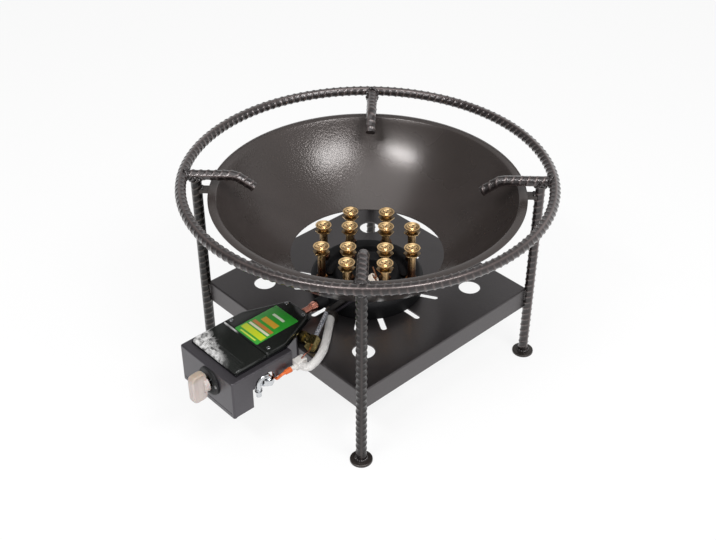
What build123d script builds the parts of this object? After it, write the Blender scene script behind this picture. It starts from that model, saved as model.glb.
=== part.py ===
from build123d import *

import os
from math import cos, pi, radians, sin, sqrt, tan

# Portable gas stove, in millimetres, +Z up. The origin is on the floor under the burner's axis.
# The control box stands out at the front, towards -Y, and +X is on the right of a cook facing it.

# Stand of ribbed reinforcing bar
BAR_R = 7.0                 # bar radius, for 14 mm bar
RING_R = 243.0              # ring's centre line
RING_Z = 290.0              # ring's centre height
LEG_SIDE = 160.0            # the legs' axes stand at plus and minus this on x and y
LEG_R = LEG_SIDE * sqrt(2)  # the same, as a radius
ARM_Z = RING_Z - 1.0        # level run of the pot arms
ARM_BUTT_R = RING_R - 4.0   # outer end, coped to the ring
ARM_BEND_R = 173.0          # where an arm turns down
ARM_TIP_R = 150.0
ARM_TIP_Z = 272.0
ARM_BEND_FILLET = 22.0
LEG_COPE = 3.0              # the leg's rim stops this far below the arm's axis
FOOT_R = 15.0
FOOT_T = 4.0
CORNERS = {"front_right": -45, "front_left": -135, "rear_right": 45, "rear_left": 135}

# Heat bowl, a zone of a sphere with a flat lip
BOWL_T = 2.0
BOWL_LIP_R = 210.0
BOWL_LIP_Z = 271.0          # top of the lip
BOWL_RIM_R = 199.0          # inner edge of the lip
BOWL_HOLE_R = 105.0
BOWL_HOLE_Z = 171.0
TAB_W = 12.0                # tabs between lip and legs
TAB_T = 5.0
TAB_INNER_R = 203.0

# Shelf tray, folded from sheet
SHEET_T = 2.0
TRAY_HALF = 158.0
TRAY_TOP = 114.0
TRAY_FLANGE = 30.0
TRAY_FOLD_R = 2.5
SLOT_ANGLES = [half + turn for half in (0, 180) for turn in (0, 30, 51, 90, 129, 150)]
SLOT_INNER_R = 68.0
SLOT_OUTER_R = 102.0
SLOT_W = 8.0
TRAY_HOLE_R = 15.0
TRAY_HOLE_AT_R = 143.0

# Burner: cored cast base with two raised rings, brass jets
BASE_R = 78.0
BASE_TOP = 141.0
BASE_FLOOR_T = 3.0
BASE_BOTTOM = TRAY_TOP
CHAMBER_FLOOR = BASE_BOTTOM + BASE_FLOOR_T
BASE_SHOULDER = 6.0
VALLEY_Z = 131.0            # groove between the two raised rings
DISH_Z = 129.0              # sunk middle
RING_WALL = 5.0             # metal over the gas chambers
OUTER_JET_R = 66.0
INNER_JET_R = 35.2
OUTER_RING = (58.5, 73.0)   # inner and outer radius of the raised tops
INNER_RING = (26.5, 43.5)
CHAMBER_HALF_W = 5.3        # gas chambers run under the jets
RING_SLOPE = 3.0
STEM_R = 5.5                # jet stem
JET_BORE_R = 1.2
JET_FOOT_Z = BASE_TOP - RING_WALL
JET_COLLAR_Z = 186.0
JET_COLLAR_H = 4.5
JET_HEX_R = 11.6
JET_CUP_Z = 189.5
JET_HEAD_R = 11.0
JET_TOP_Z = 197.0
JET_PORTS = 6
JET_FLARE = 1.5             # small steps of the jet's turned profile
JET_LIP_T = 1.0
JET_RIM_H = 2.0
JET_NUT_R = 8.5
JET_NUT_H = 6.0
BOLT_AT_R = 51.0
BOLT_R = 2.5
BOLT_HEAD_R = 4.2
BOLT_HEAD_H = 3.5
BOLT_NUT_R = 4.6

# Gas line
PIPE_R = 5.0
PIPE_BORE_R = 4.0
PIPE_Z = 123.0
PIPE_BEND = 14.0
PIPE_INSET = 8.0            # length of pipe inside the valve's neck
PIPE_RISE_Y = (-196.0, -174.0)  # the pipe climbs from the valve to the tray between these
PIPE_LIFT_Y = (-134.0, -116.0)  # and from there to the boss between these
BOSS_R = 8.5
BOSS_Z = 128.0
BOSS_END_Y = -94.0
PASSAGE_Z = 122.0
UNION_R = 8.4
UNION_H = 11.0

# Control box of folded sheet
BOX_HALF_W = 54.0
BOX_FRONT_Y = -279.0
BOX_TOP = 132.0
BOX_BOTTOM = 75.0
EAR_BACK_Y = -247.0         # the sides reach down to the bottom only as far back as this
EAR_STEP_Z = 105.0
SIDE_REAR_Y = -182.0
TONGUE_HALF_W = 36.0        # narrower rear of the top, with two tongues folded down on the tray's flange
TONGUE_GAP = 14.0
TONGUE_BOTTOM = 88.0
BOX_FOLD_R = 2.5
EAR_INSET = 0.8             # the ears stand in from the upper sides by this
LIP_DEPTH = 12.0
PANEL_GROOVE_Z = 81.0
PANEL_GROOVE = 1.0
NOTCH_Y = (-243.0, -212.0)  # opening in the right side for the gas inlet
NOTCH_TOP = 119.0
NOTCH_CORNER_R = 10.0

# Valve and knob, on an axis along y
KNOB_X = 7.0                # the valve stands a little to the right in the box
KNOB_Z = 110.0
PUSH = 3.5                  # knob travel
VALVE_FRONT_Y = BOX_FRONT_Y + SHEET_T
VALVE_NOSE_Y = -262.0
VALVE_BLOCK_END_Y = -225.0
VALVE_END_Y = -212.0
VALVE_NOSE_R = 10.5
VALVE_BLOCK = 20.0
VALVE_NECK_R = 8.0
CHAMBER_R = 8.1
CHAMBER_END_Y = -228.0
RUN_FIT = 0.1               # radial play of turning and sliding pieces
VALVE_STEM_R = 4.0
STEM_FRONT_Y = -303.0
STEM_ROUND_END_Y = -251.0
STEM_TANG_END_Y = -237.0
TANG_T = 2.8
TANG_W = 6.2
TANG_PLAY = 0.3
PLUG_FRONT_Y = -244.0
PLUG_END_Y = -229.0
WASHER_FRONT_Y = -261.5
WASHER_T = 2.0
SPRING_R = 6.2
SPRING_WIRE_R = 0.6
SPRING_PITCH = 3.0
SPRING_GAP = 0.3
COLLAR_R = 20.0
COLLAR_T = 3.0
COLLAR_BORE_R = 9.0
COLLAR_SCREW_X = 15.0
COLLAR_SCREW_R = 1.0
KNOB_CLEAR = 0.6            # room left in front of the collar when pushed
KNOB_HUB_R = 11.0
KNOB_HUB_L = 6.0
WING_DEPTH = 23.0
WING_H = 42.0
WING_T = 11.0
WING_CORNER_R = 8.0
EDGE_R = 2.0                # rounded corners of small blocks and mouldings

# Gas inlet: swan-necked tube with a hexagon and a hose tail
INLET_ROUTE = [
    (KNOB_X + VALVE_BLOCK / 2, -238.0, 104.0),
    (27.0, -238.0, 104.0),
    (50.0, -219.0, 93.0),
    (50.0, -219.0, 113.0),
    (50.0, -236.0, 113.0),
    (50.0, -236.0, 98.0),
]
INLET_R = 4.3
INLET_BORE_R = 2.6
INLET_BENDS = (8.0, 7.0, 8.4, 8.4)
INLET_HEX_Z = 97.5
INLET_HEX_R = 7.2
INLET_HEX_H = 8.0
TAIL_TIP_Z = 86.0
TAIL_TIP_R = 3.8
TAIL_TIP_L = 5.0
BARB_R = 4.9
BARB_COUNT = 2

# Safety valve on the gas line, with a nut that takes the flame sensor's tube
SAFETY_Y = -146.0
SAFETY_R = 8.5
SAFETY_HALF_L = 7.0
BRANCH_R = 6.0
BRANCH_RING_X = (33.0, 39.0)
BRANCH_RING_R = 8.0
BRANCH_END = Vector(52.0, SAFETY_Y, PIPE_Z)
SENSOR_NUT_R = 8.4
SENSOR_NUT_HALF_L = 8.5

# Igniter case
CASE_T = 2.0
CASE_HALF_W = 46.0
CASE_FRONT_Y = -266.0
CASE_SEAM_Y = -216.0
CASE_TAPER_Y = -185.0
CASE_REAR_Y = -122.0
CASE_REAR_HALF_W = 21.0
DECK_TOP = BOX_TOP + 2.5
CASE_TOP = 141.0
CASE_CHAMFER = 2.5
TUB_HALF_W = 40.5
TUB_FRONT_Y = -262.5
TUB_REAR_Y = -217.5
TUB_BOTTOM = 121.0
WINDOW_PLAY = 0.5
COVER_GAP = 0.3
COVER_TOP = 140.0
COVER_SLOPE = 4.5
GRIP_COUNT = 5
GRIP_L = 78.0
GRIP_W = 1.4
GRIP_PITCH = 3.0
GRIP_H = 0.7
LABEL_W = 46.0
LABEL_L = 70.0
LABEL_T = 0.4
LABEL_Y = -179.0
LABEL_CORNER_R = 2.0
CELL_R = 5.2
CELL_L = 43.0
CELL_Y = -240.0
CELL_Z = 128.4
CELL_NUB_R = 2.4
CELL_NUB_L = 1.4
CONTACT_T = 1.0
MODULE_SIZE = (28.0, 30.0, 20.0)
MODULE_AT = (30.0, -199.0)
CASE_SCREWS = ((38.0, -207.0), (17.0, -131.0))
SCREW_HEAD_R = 2.6
SCREW_HEAD_H = 1.4
KNOB_BACK_Y = BOX_FRONT_Y - COLLAR_T - PUSH - KNOB_CLEAR

# Flame side: bracket, electrode, sensor, sleeve and connectors
ROD_FOOT = Vector(19.6, -89.2, 127.0)
ROD_TOP = Vector(60.5, -42.0, 180.5)
CERAMIC_R = 3.5
CERAMIC_HEAD_R = 8.0
CERAMIC_HEAD_L = 12.0
CERAMIC_CUP_R = 5.6          # recess in the head's end
CERAMIC_CUP_L = 3.0
CERAMIC_EDGE_R = 1.0
SPARK_WIRE_R = 1.0
SPARK_BUTTON_R = 4.5         # metal cap in the recess, which the wire stands on
SPARK_BUTTON_T = 1.5
SPARK_TIP = Vector(46.0, -33.0, 185.5)
SENSOR_R = 2.2
SENSOR_SHIFT = Vector(8.5, 3.1, 0.0)
SENSOR_SHORTER = 26.0
SENSOR_TUBE_R = 3.0
BRACKET_SIZE = (10.0, 16.0, 16.0)
BRACKET_FACES = -70.0       # angle that the bracket's front looks towards
SENSOR_EXIT = (-5.2, 126.5)  # the sensor's tube leaves the front face this far aside, at this height
SLEEVE_R = 5.5
SLEEVE_ROUTE = [
    (26.2, -91.4, 120.0),
    (41.0, -108.0, 120.0),
    (55.5, -125.0, 120.0),
    (69.0, -141.5, 120.8),
    (77.5, -156.0, 122.2),
    (79.5, -168.5, 117.5),
    (73.5, -175.5, 111.5),
    (63.0, -175.0, 109.5),
]
ARC_SHARE = 0.45            # share of a run that an arc's tangent takes
CONNECTOR_SIZE = (12.0, 16.0, 13.0)
CONNECTOR_AT = (58.0, -174.0, 110.5)
NUB_AT = Vector(59.5, SIDE_REAR_Y, 109.0)
NUB_R = 3.2
NUB_L = 8.0
BOOT_R = 3.8
BOOT_L = 9.0
LEAD_R = 2.0
LEAD_BEND = 4.0
LEAD_POINTS = [(53.0, -208.0, 99.5), (44.0, -206.0, 98.0)]  # under the box's side
SENSOR_LEAD_R = 1.0
SENSOR_LEAD_BEND = 5.0

BASE_ALIGN = (Align.CENTER, Align.CENTER, Align.MIN)
os.makedirs("parts", exist_ok=True)


def export(piece, name):
    """Labels a finished piece and writes it to a STEP file of its own."""
    piece.part.label = name
    export_step(piece.part, f"parts/{name}.step")


def radial_plane(angle):
    """Upright plane through the burner's axis: its x runs outward at the angle, its y runs up."""
    outward = Vector(cos(radians(angle)), sin(radians(angle)), 0)
    return Plane(origin=(0, 0, 0), x_dir=outward, z_dir=outward.cross(Vector(0, 0, 1)))


def cross_plane(y, z, x=0.0):
    """Plane square to a line along y, facing the rear."""
    return Plane(origin=(x, y, z), x_dir=(1, 0, 0), z_dir=(0, 1, 0))


def valve_plane(y):
    """The same plane on the valve's axis."""
    return cross_plane(y, KNOB_Z, KNOB_X)


def valve_rod(y_front, y_rear, radius, mode=Mode.ADD):
    """Round bar on the valve's axis, joined to or cut from the piece being built."""
    with BuildSketch(valve_plane(y_front)) as section:
        Circle(radius)
    extrude(section.sketch, amount=y_rear - y_front, mode=mode)


def tube_along(line, radius, mode=Mode.ADD):
    """Round bar along a line, joined to or cut from the piece being built."""
    with BuildSketch(Plane(line @ 0, z_dir=line % 0)) as section:
        Circle(radius)
    sweep(section.sketch, path=line, mode=mode)


# Ring of bent bar, its ends welded
with BuildPart() as top_ring:
    with BuildSketch(Plane.XZ):
        with Locations((RING_R, RING_Z)):
            Circle(BAR_R)
    revolve(axis=Axis.Z)
export(top_ring, "top_ring")

# Pot arms, legs and feet, one of each at every corner. An arm is coped to the ring, and a leg to its arm.
for corner, angle in CORNERS.items():
    with BuildPart() as pot_arm:
        with BuildLine(radial_plane(angle)) as arm_line:
            FilletPolyline((ARM_BUTT_R, ARM_Z), (ARM_BEND_R, ARM_Z), (ARM_TIP_R, ARM_TIP_Z),
                           radius=ARM_BEND_FILLET)
        with BuildSketch(Plane(arm_line.line @ 0, z_dir=arm_line.line % 0)):
            Circle(BAR_R)
        sweep()
        add(top_ring.part, mode=Mode.SUBTRACT)
    export(pot_arm, f"pot_arm_{corner}")

    with BuildPart() as leg:
        with Locations((0, 0, FOOT_T)):
            with PolarLocations(LEG_R, 1, start_angle=angle):
                Cylinder(BAR_R, ARM_Z - LEG_COPE - FOOT_T, align=BASE_ALIGN)
        add(pot_arm.part, mode=Mode.SUBTRACT)
    export(leg, f"leg_{corner}")

    with BuildPart() as foot:
        with PolarLocations(LEG_R, 1, start_angle=angle):
            Cylinder(FOOT_R, FOOT_T, align=BASE_ALIGN)
        chamfer(foot.faces().sort_by(Axis.Z)[-1].edges(), FOOT_T / 4)
    export(foot, f"foot_{corner}")

# Heat bowl: both faces are zones of spheres about one centre on the axis
bowl_centre_z = (BOWL_RIM_R**2 - BOWL_HOLE_R**2 + BOWL_LIP_Z**2 - BOWL_HOLE_Z**2) / (
    2 * (BOWL_LIP_Z - BOWL_HOLE_Z))
bowl_inner_r = sqrt(BOWL_HOLE_R**2 + (bowl_centre_z - BOWL_HOLE_Z) ** 2)
bowl_outer_r = bowl_inner_r + BOWL_T


def bowl_point(sphere_r, r):
    """Point of a bowl face's section at a radius from the axis."""
    return r, bowl_centre_z - sqrt(sphere_r**2 - r**2)


under_lip_z = BOWL_LIP_Z - BOWL_T
under_lip_r = sqrt(bowl_outer_r**2 - (bowl_centre_z - under_lip_z) ** 2)
wall_mid_r = (BOWL_RIM_R + BOWL_HOLE_R) / 2

with BuildPart() as heat_bowl:
    with BuildSketch(Plane.XZ):
        with BuildLine():
            Polyline((BOWL_RIM_R, BOWL_LIP_Z), (BOWL_LIP_R, BOWL_LIP_Z), (BOWL_LIP_R, under_lip_z),
                     (under_lip_r, under_lip_z))
            ThreePointArc((under_lip_r, under_lip_z), bowl_point(bowl_outer_r, wall_mid_r),
                          bowl_point(bowl_outer_r, BOWL_HOLE_R))
            Line(bowl_point(bowl_outer_r, BOWL_HOLE_R), (BOWL_HOLE_R, BOWL_HOLE_Z))
            ThreePointArc((BOWL_HOLE_R, BOWL_HOLE_Z), bowl_point(bowl_inner_r, wall_mid_r),
                          (BOWL_RIM_R, BOWL_LIP_Z))
        make_face()
    revolve(axis=Axis.Z)
export(heat_bowl, "heat_bowl")

# Tabs welded under the lip and to the legs
tab_length = LEG_R - TAB_INNER_R
with BuildPart() as bowl_tabs:
    with Locations((0, 0, under_lip_z - TAB_T)):
        with PolarLocations(TAB_INNER_R, 4, start_angle=45):
            Box(tab_length, TAB_W, TAB_T, align=(Align.MIN, Align.CENTER, Align.MIN))
        with PolarLocations(LEG_R, 4, start_angle=45):
            Cylinder(BAR_R, TAB_T, align=BASE_ALIGN, mode=Mode.SUBTRACT)
export(bowl_tabs, "bowl_tabs")

# Shelf tray: a plate with four flanges folded down, notched round the legs
with BuildPart() as tray:
    with BuildSketch(Plane.XY.offset(TRAY_TOP - TRAY_FLANGE)):
        Rectangle(2 * TRAY_HALF, 2 * TRAY_HALF)
    extrude(amount=TRAY_FLANGE)
    fillet(tray.faces().sort_by(Axis.Z)[-1].edges(), TRAY_FOLD_R)
    with BuildSketch(Plane.XY.offset(TRAY_TOP - TRAY_FLANGE)):
        Rectangle(2 * (TRAY_HALF - SHEET_T), 2 * (TRAY_HALF - SHEET_T))
    extrude(amount=TRAY_FLANGE - SHEET_T, mode=Mode.SUBTRACT)
    with BuildSketch(Plane.XY.offset(TRAY_TOP)):
        for angle in SLOT_ANGLES:
            with PolarLocations((SLOT_INNER_R + SLOT_OUTER_R) / 2, 1, start_angle=angle):
                SlotOverall(SLOT_OUTER_R - SLOT_INNER_R, SLOT_W)
        with PolarLocations(TRAY_HOLE_AT_R, 4, start_angle=45):
            Circle(TRAY_HOLE_R)
        with PolarLocations(BOLT_AT_R, 4, start_angle=45):
            Circle(BOLT_R)
    extrude(amount=-SHEET_T, mode=Mode.SUBTRACT)
    with BuildSketch(Plane.XY.offset(TRAY_TOP - TRAY_FLANGE)):
        with PolarLocations(LEG_R, 4, start_angle=45):
            Circle(BAR_R)
    extrude(amount=TRAY_FLANGE, mode=Mode.SUBTRACT)
export(tray, "tray")

# Cast base: two raised rings over cored gas chambers, joined to each other and to the boss by a passage
with BuildPart() as burner_base:
    with BuildSketch(Plane.XZ):
        with BuildLine():
            Polyline((0, BASE_BOTTOM), (BASE_R, BASE_BOTTOM), (BASE_R, BASE_TOP - BASE_SHOULDER),
                     (OUTER_RING[1], BASE_TOP), (OUTER_RING[0], BASE_TOP),
                     (OUTER_RING[0] - RING_SLOPE, VALLEY_Z), (INNER_RING[1] + RING_SLOPE, VALLEY_Z),
                     (INNER_RING[1], BASE_TOP), (INNER_RING[0], BASE_TOP),
                     (INNER_RING[0] - RING_SLOPE, DISH_Z), (0, DISH_Z), close=True)
        make_face()
    revolve(axis=Axis.Z)
    with BuildSketch(cross_plane(BOSS_END_Y, BOSS_Z)):
        Circle(BOSS_R)
    extrude(amount=-BOSS_END_Y - OUTER_JET_R)
    with BuildSketch(Plane.XY.offset(CHAMBER_FLOOR)):
        for jet_r in (OUTER_JET_R, INNER_JET_R):
            Circle(jet_r + CHAMBER_HALF_W)
            Circle(jet_r - CHAMBER_HALF_W, mode=Mode.SUBTRACT)
    extrude(amount=JET_FOOT_Z - CHAMBER_FLOOR, mode=Mode.SUBTRACT)
    with BuildSketch(cross_plane(BOSS_END_Y, BOSS_Z)):
        Circle(PIPE_R)
    extrude(amount=-BOSS_END_Y - OUTER_JET_R, mode=Mode.SUBTRACT)
    with BuildSketch(cross_plane(-OUTER_JET_R, PASSAGE_Z)):
        Circle(PIPE_BORE_R)
    extrude(amount=OUTER_JET_R - INNER_JET_R, mode=Mode.SUBTRACT)
    with BuildSketch(Plane.XY.offset(CHAMBER_FLOOR)):
        with PolarLocations(OUTER_JET_R, 8, start_angle=22.5):
            Circle(STEM_R)
        with PolarLocations(INNER_JET_R, 4):
            Circle(STEM_R)
    extrude(amount=BASE_TOP - CHAMBER_FLOOR, mode=Mode.SUBTRACT)
    with BuildSketch(Plane.XY.offset(BASE_BOTTOM)):
        with PolarLocations(BOLT_AT_R, 4, start_angle=45):
            Circle(BOLT_R)
    extrude(amount=BASE_TOP - BASE_BOTTOM, mode=Mode.SUBTRACT)
export(burner_base, "burner_base")

# Bolts down through base and tray, with their nuts under the tray
with BuildPart() as burner_bolts:
    bolt_bottom = TRAY_TOP - SHEET_T - BOLT_HEAD_H
    with Locations((0, 0, bolt_bottom)):
        with PolarLocations(BOLT_AT_R, 4, start_angle=45):
            Cylinder(BOLT_R, VALLEY_Z - bolt_bottom, align=BASE_ALIGN)
    with Locations((0, 0, VALLEY_Z)):
        with PolarLocations(BOLT_AT_R, 4, start_angle=45):
            Cylinder(BOLT_HEAD_R, BOLT_HEAD_H, align=BASE_ALIGN)
    with BuildSketch(Plane.XY.offset(bolt_bottom)):
        with PolarLocations(BOLT_AT_R, 4, start_angle=45):
            RegularPolygon(BOLT_NUT_R, 6)
    extrude(amount=BOLT_HEAD_H)
export(burner_bolts, "burner_bolts")

# One brass jet on the origin's axis: stem, hexagon to turn it by, and a flared cup with a ring of ports
with BuildPart() as jet_pattern:
    with BuildSketch(Plane.XZ):
        with BuildLine():
            Polyline((JET_BORE_R, JET_FOOT_Z), (STEM_R, JET_FOOT_Z), (STEM_R, JET_CUP_Z - JET_FLARE),
                     (STEM_R + JET_FLARE, JET_CUP_Z), (JET_HEAD_R, JET_TOP_Z - JET_RIM_H),
                     (JET_HEAD_R, JET_TOP_Z), (JET_HEAD_R - JET_LIP_T, JET_TOP_Z),
                     (STEM_R - JET_LIP_T, JET_CUP_Z + JET_RIM_H), (2 * JET_BORE_R, JET_CUP_Z + JET_RIM_H),
                     (JET_BORE_R, JET_TOP_Z - 2 * JET_FLARE), close=True)
        make_face()
    revolve(axis=Axis.Z)
    with BuildSketch(Plane.XY.offset(JET_COLLAR_Z)):
        RegularPolygon(JET_HEX_R, 6)
        Circle(STEM_R - JET_LIP_T, mode=Mode.SUBTRACT)
    extrude(amount=JET_COLLAR_H)
    with BuildSketch(Plane.XY.offset(JET_CUP_Z)):
        with PolarLocations((STEM_R + JET_HEAD_R) / 2 - JET_LIP_T, JET_PORTS):
            Circle(JET_BORE_R)
    extrude(amount=JET_TOP_Z - JET_CUP_Z, mode=Mode.SUBTRACT)

JETS = [(OUTER_JET_R, 22.5 + 45 * k) for k in range(8)] + [(INNER_JET_R, 90 * k) for k in range(4)]
for number, (jet_r, angle) in enumerate(JETS, start=1):
    with BuildPart() as jet:
        with PolarLocations(jet_r, 1, start_angle=angle):
            add(jet_pattern.part)
    export(jet, f"jet_{number:02d}")

# Lock nuts at the foot of the jets
with BuildPart() as jet_nuts:
    with BuildSketch(Plane.XY.offset(BASE_TOP)):
        for jet_r, angle in JETS:
            with PolarLocations(jet_r, 1, start_angle=angle):
                RegularPolygon(JET_NUT_R, 6)
                Circle(STEM_R, mode=Mode.SUBTRACT)
    extrude(amount=JET_NUT_H)
export(jet_nuts, "jet_nuts")

# Copper pipe from the valve's neck, up over the tray's edge, to the burner's boss
with BuildPart() as gas_pipe:
    with BuildLine():
        pipe_line = FilletPolyline((KNOB_X, VALVE_END_Y - PIPE_INSET, KNOB_Z),
                                   (KNOB_X, PIPE_RISE_Y[0], KNOB_Z), (0, PIPE_RISE_Y[1], PIPE_Z),
                                   (0, PIPE_LIFT_Y[0], PIPE_Z), (0, PIPE_LIFT_Y[1], BOSS_Z),
                                   (0, -BASE_R, BOSS_Z), radius=PIPE_BEND)
    tube_along(pipe_line, PIPE_R)
    tube_along(pipe_line, PIPE_BORE_R, mode=Mode.SUBTRACT)
export(gas_pipe, "gas_pipe")

# Union nuts at both ends of the pipe
with BuildPart() as pipe_nuts:
    for nut_plane in (valve_plane(VALVE_END_Y), cross_plane(BOSS_END_Y - UNION_H, BOSS_Z)):
        with BuildSketch(nut_plane):
            RegularPolygon(UNION_R, 6)
            Circle(PIPE_R, mode=Mode.SUBTRACT)
        extrude(amount=UNION_H)
export(pipe_nuts, "pipe_nuts")

# Brass safety valve: a tee on the pipe, its branch ending in a nut turned towards the electrode bracket
bracket_front = Vector(cos(radians(BRACKET_FACES)), sin(radians(BRACKET_FACES)), 0)
bracket_middle = ROD_FOOT + SENSOR_SHIFT * 0.5
bracket_foot = Vector(bracket_middle.X, bracket_middle.Y, TRAY_TOP)
bracket_plane = Plane(origin=bracket_foot, x_dir=bracket_front, z_dir=(0, 0, 1))
sensor_exit = bracket_plane.from_local_coords(
    Vector(BRACKET_SIZE[0] / 2, SENSOR_EXIT[0], SENSOR_EXIT[1] - TRAY_TOP))
to_bracket = (sensor_exit - BRANCH_END).normalized()
with BuildPart() as safety_valve:
    with BuildSketch(cross_plane(SAFETY_Y - SAFETY_HALF_L, PIPE_Z)):
        Circle(SAFETY_R)
    extrude(amount=2 * SAFETY_HALF_L)
    branch_plane = Plane(origin=(0, SAFETY_Y, PIPE_Z), x_dir=(0, 1, 0), z_dir=(1, 0, 0))
    with BuildSketch(branch_plane):
        Circle(BRANCH_R)
    extrude(amount=BRANCH_END.X)
    with BuildSketch(branch_plane.offset(BRANCH_RING_X[0])):
        Circle(BRANCH_RING_R)
    extrude(amount=BRANCH_RING_X[1] - BRANCH_RING_X[0])
    with BuildSketch(Plane(origin=BRANCH_END, z_dir=to_bracket)):
        RegularPolygon(SENSOR_NUT_R, 6)
    extrude(amount=SENSOR_NUT_HALF_L, both=True)
    with BuildSketch(cross_plane(SAFETY_Y - SAFETY_HALF_L, PIPE_Z)):
        Circle(PIPE_R)
    extrude(amount=2 * SAFETY_HALF_L, mode=Mode.SUBTRACT)
export(safety_valve, "safety_valve")

# Control box: front, top and two stepped sides folded from one sheet, a return lip along the bottom, and a
# narrower rear whose tongues are fixed to the tray's flange
with BuildPart() as control_box:
    with BuildSketch(Plane.YZ):
        with BuildLine():
            Polyline((BOX_FRONT_Y, BOX_BOTTOM), (EAR_BACK_Y, BOX_BOTTOM), (EAR_BACK_Y, EAR_STEP_Z),
                     (SIDE_REAR_Y, EAR_STEP_Z), (SIDE_REAR_Y, BOX_TOP), (BOX_FRONT_Y, BOX_TOP), close=True)
        make_face()
    extrude(amount=BOX_HALF_W, both=True)
    box_front = control_box.faces().sort_by(Axis.Y)[0]
    box_top = control_box.faces().sort_by(Axis.Z)[-1]
    fillet(box_front.edges().filter_by(Axis.Z) + box_top.edges().sort_by(Axis.Y)[:-1], BOX_FOLD_R)
    for side in (-1, 1):
        with Locations((side * BOX_HALF_W, (VALVE_FRONT_Y + BOX_FOLD_R + EAR_BACK_Y) / 2, BOX_BOTTOM)):
            Box(2 * EAR_INSET, EAR_BACK_Y - VALVE_FRONT_Y - BOX_FOLD_R, EAR_STEP_Z - BOX_BOTTOM,
                align=BASE_ALIGN, mode=Mode.SUBTRACT)
    with BuildSketch(cross_plane(VALVE_FRONT_Y, (BOX_BOTTOM + BOX_TOP - SHEET_T) / 2)):
        Rectangle(2 * (BOX_HALF_W - SHEET_T), BOX_TOP - SHEET_T - BOX_BOTTOM)
    extrude(amount=SIDE_REAR_Y - VALVE_FRONT_Y, mode=Mode.SUBTRACT)
    with BuildSketch(Plane.XY.offset(BOX_BOTTOM)):
        with Locations((0, VALVE_FRONT_Y + LIP_DEPTH / 2)):
            Rectangle(2 * (BOX_HALF_W - SHEET_T), LIP_DEPTH)
    extrude(amount=SHEET_T)
    with BuildSketch(Plane.XY.offset(BOX_TOP)):
        with Locations((0, (SIDE_REAR_Y - TRAY_HALF) / 2)):
            Rectangle(2 * TONGUE_HALF_W, -TRAY_HALF - SIDE_REAR_Y)
    extrude(amount=-SHEET_T)
    with BuildSketch(Plane.XY.offset(TONGUE_BOTTOM)):
        with Locations((0, -TRAY_HALF - SHEET_T / 2)):
            with GridLocations(TONGUE_HALF_W + TONGUE_GAP, 1, 2, 1):
                Rectangle(TONGUE_HALF_W - TONGUE_GAP, SHEET_T)
    extrude(amount=BOX_TOP - TONGUE_BOTTOM)
    with BuildSketch(Plane.XY.offset(BOX_TOP)):
        with Locations((0, (TUB_FRONT_Y + TUB_REAR_Y) / 2)):
            Rectangle(2 * (TUB_HALF_W + WINDOW_PLAY), TUB_REAR_Y - TUB_FRONT_Y + 2 * WINDOW_PLAY)
    extrude(amount=-SHEET_T, mode=Mode.SUBTRACT)
    with BuildSketch(valve_plane(BOX_FRONT_Y)):
        Circle(COLLAR_BORE_R)
        with Locations((COLLAR_SCREW_X, 0), (-COLLAR_SCREW_X, 0)):
            Circle(COLLAR_SCREW_R)
    extrude(amount=SHEET_T, mode=Mode.SUBTRACT)
    with BuildSketch(cross_plane(BOX_FRONT_Y, PANEL_GROOVE_Z)):
        Rectangle(2 * (BOX_HALF_W - 2 * SHEET_T), PANEL_GROOVE)
    extrude(amount=PANEL_GROOVE, mode=Mode.SUBTRACT)
    notch_h = NOTCH_TOP - EAR_STEP_Z + NOTCH_CORNER_R
    with BuildSketch(Plane.YZ.offset(BOX_HALF_W)):
        with Locations((sum(NOTCH_Y) / 2, NOTCH_TOP - notch_h / 2)):
            RectangleRounded(NOTCH_Y[1] - NOTCH_Y[0], notch_h, NOTCH_CORNER_R)
    extrude(amount=-SHEET_T, mode=Mode.SUBTRACT)
export(control_box, "control_box")

# Valve body: nose against the panel, square block, neck to the pipe, and a chamber for plug and spring
with BuildPart() as valve_body:
    valve_rod(VALVE_FRONT_Y, VALVE_NOSE_Y, VALVE_NOSE_R)
    with BuildSketch(valve_plane(VALVE_NOSE_Y)):
        RectangleRounded(VALVE_BLOCK, VALVE_BLOCK, EDGE_R)
    extrude(amount=VALVE_BLOCK_END_Y - VALVE_NOSE_Y)
    valve_rod(VALVE_BLOCK_END_Y, VALVE_END_Y, VALVE_NECK_R)
    valve_rod(VALVE_FRONT_Y, VALVE_NOSE_Y, VALVE_STEM_R + RUN_FIT, mode=Mode.SUBTRACT)
    valve_rod(VALVE_NOSE_Y, CHAMBER_END_Y, CHAMBER_R, mode=Mode.SUBTRACT)
    valve_rod(CHAMBER_END_Y, VALVE_END_Y, PIPE_R, mode=Mode.SUBTRACT)
export(valve_body, "valve_body")

# Plug that opens the gas way, slotted for the stem's tang
with BuildPart() as valve_plug:
    valve_rod(PLUG_FRONT_Y, PLUG_END_Y, CHAMBER_R - RUN_FIT)
    with BuildSketch(valve_plane(PLUG_FRONT_Y)):
        Rectangle(TANG_T + 2 * TANG_PLAY, TANG_W + 2 * TANG_PLAY)
    extrude(amount=PLUG_END_Y - PLUG_FRONT_Y, mode=Mode.SUBTRACT)
export(valve_plug, "valve_plug")

# Stem: round through the valve's nose, flat tang into the plug
with BuildPart() as valve_stem:
    valve_rod(STEM_FRONT_Y, STEM_ROUND_END_Y, VALVE_STEM_R)
    with BuildSketch(valve_plane(STEM_ROUND_END_Y)):
        Rectangle(TANG_T, TANG_W)
    extrude(amount=STEM_TANG_END_Y - STEM_ROUND_END_Y)
export(valve_stem, "valve_stem")

# Washer that the stem pushes inward against the spring without turning it
with BuildPart() as push_washer:
    valve_rod(WASHER_FRONT_Y, WASHER_FRONT_Y + WASHER_T, CHAMBER_R - TANG_PLAY)
    valve_rod(WASHER_FRONT_Y, WASHER_FRONT_Y + WASHER_T, VALVE_STEM_R + RUN_FIT, mode=Mode.SUBTRACT)
export(push_washer, "push_washer")

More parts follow.
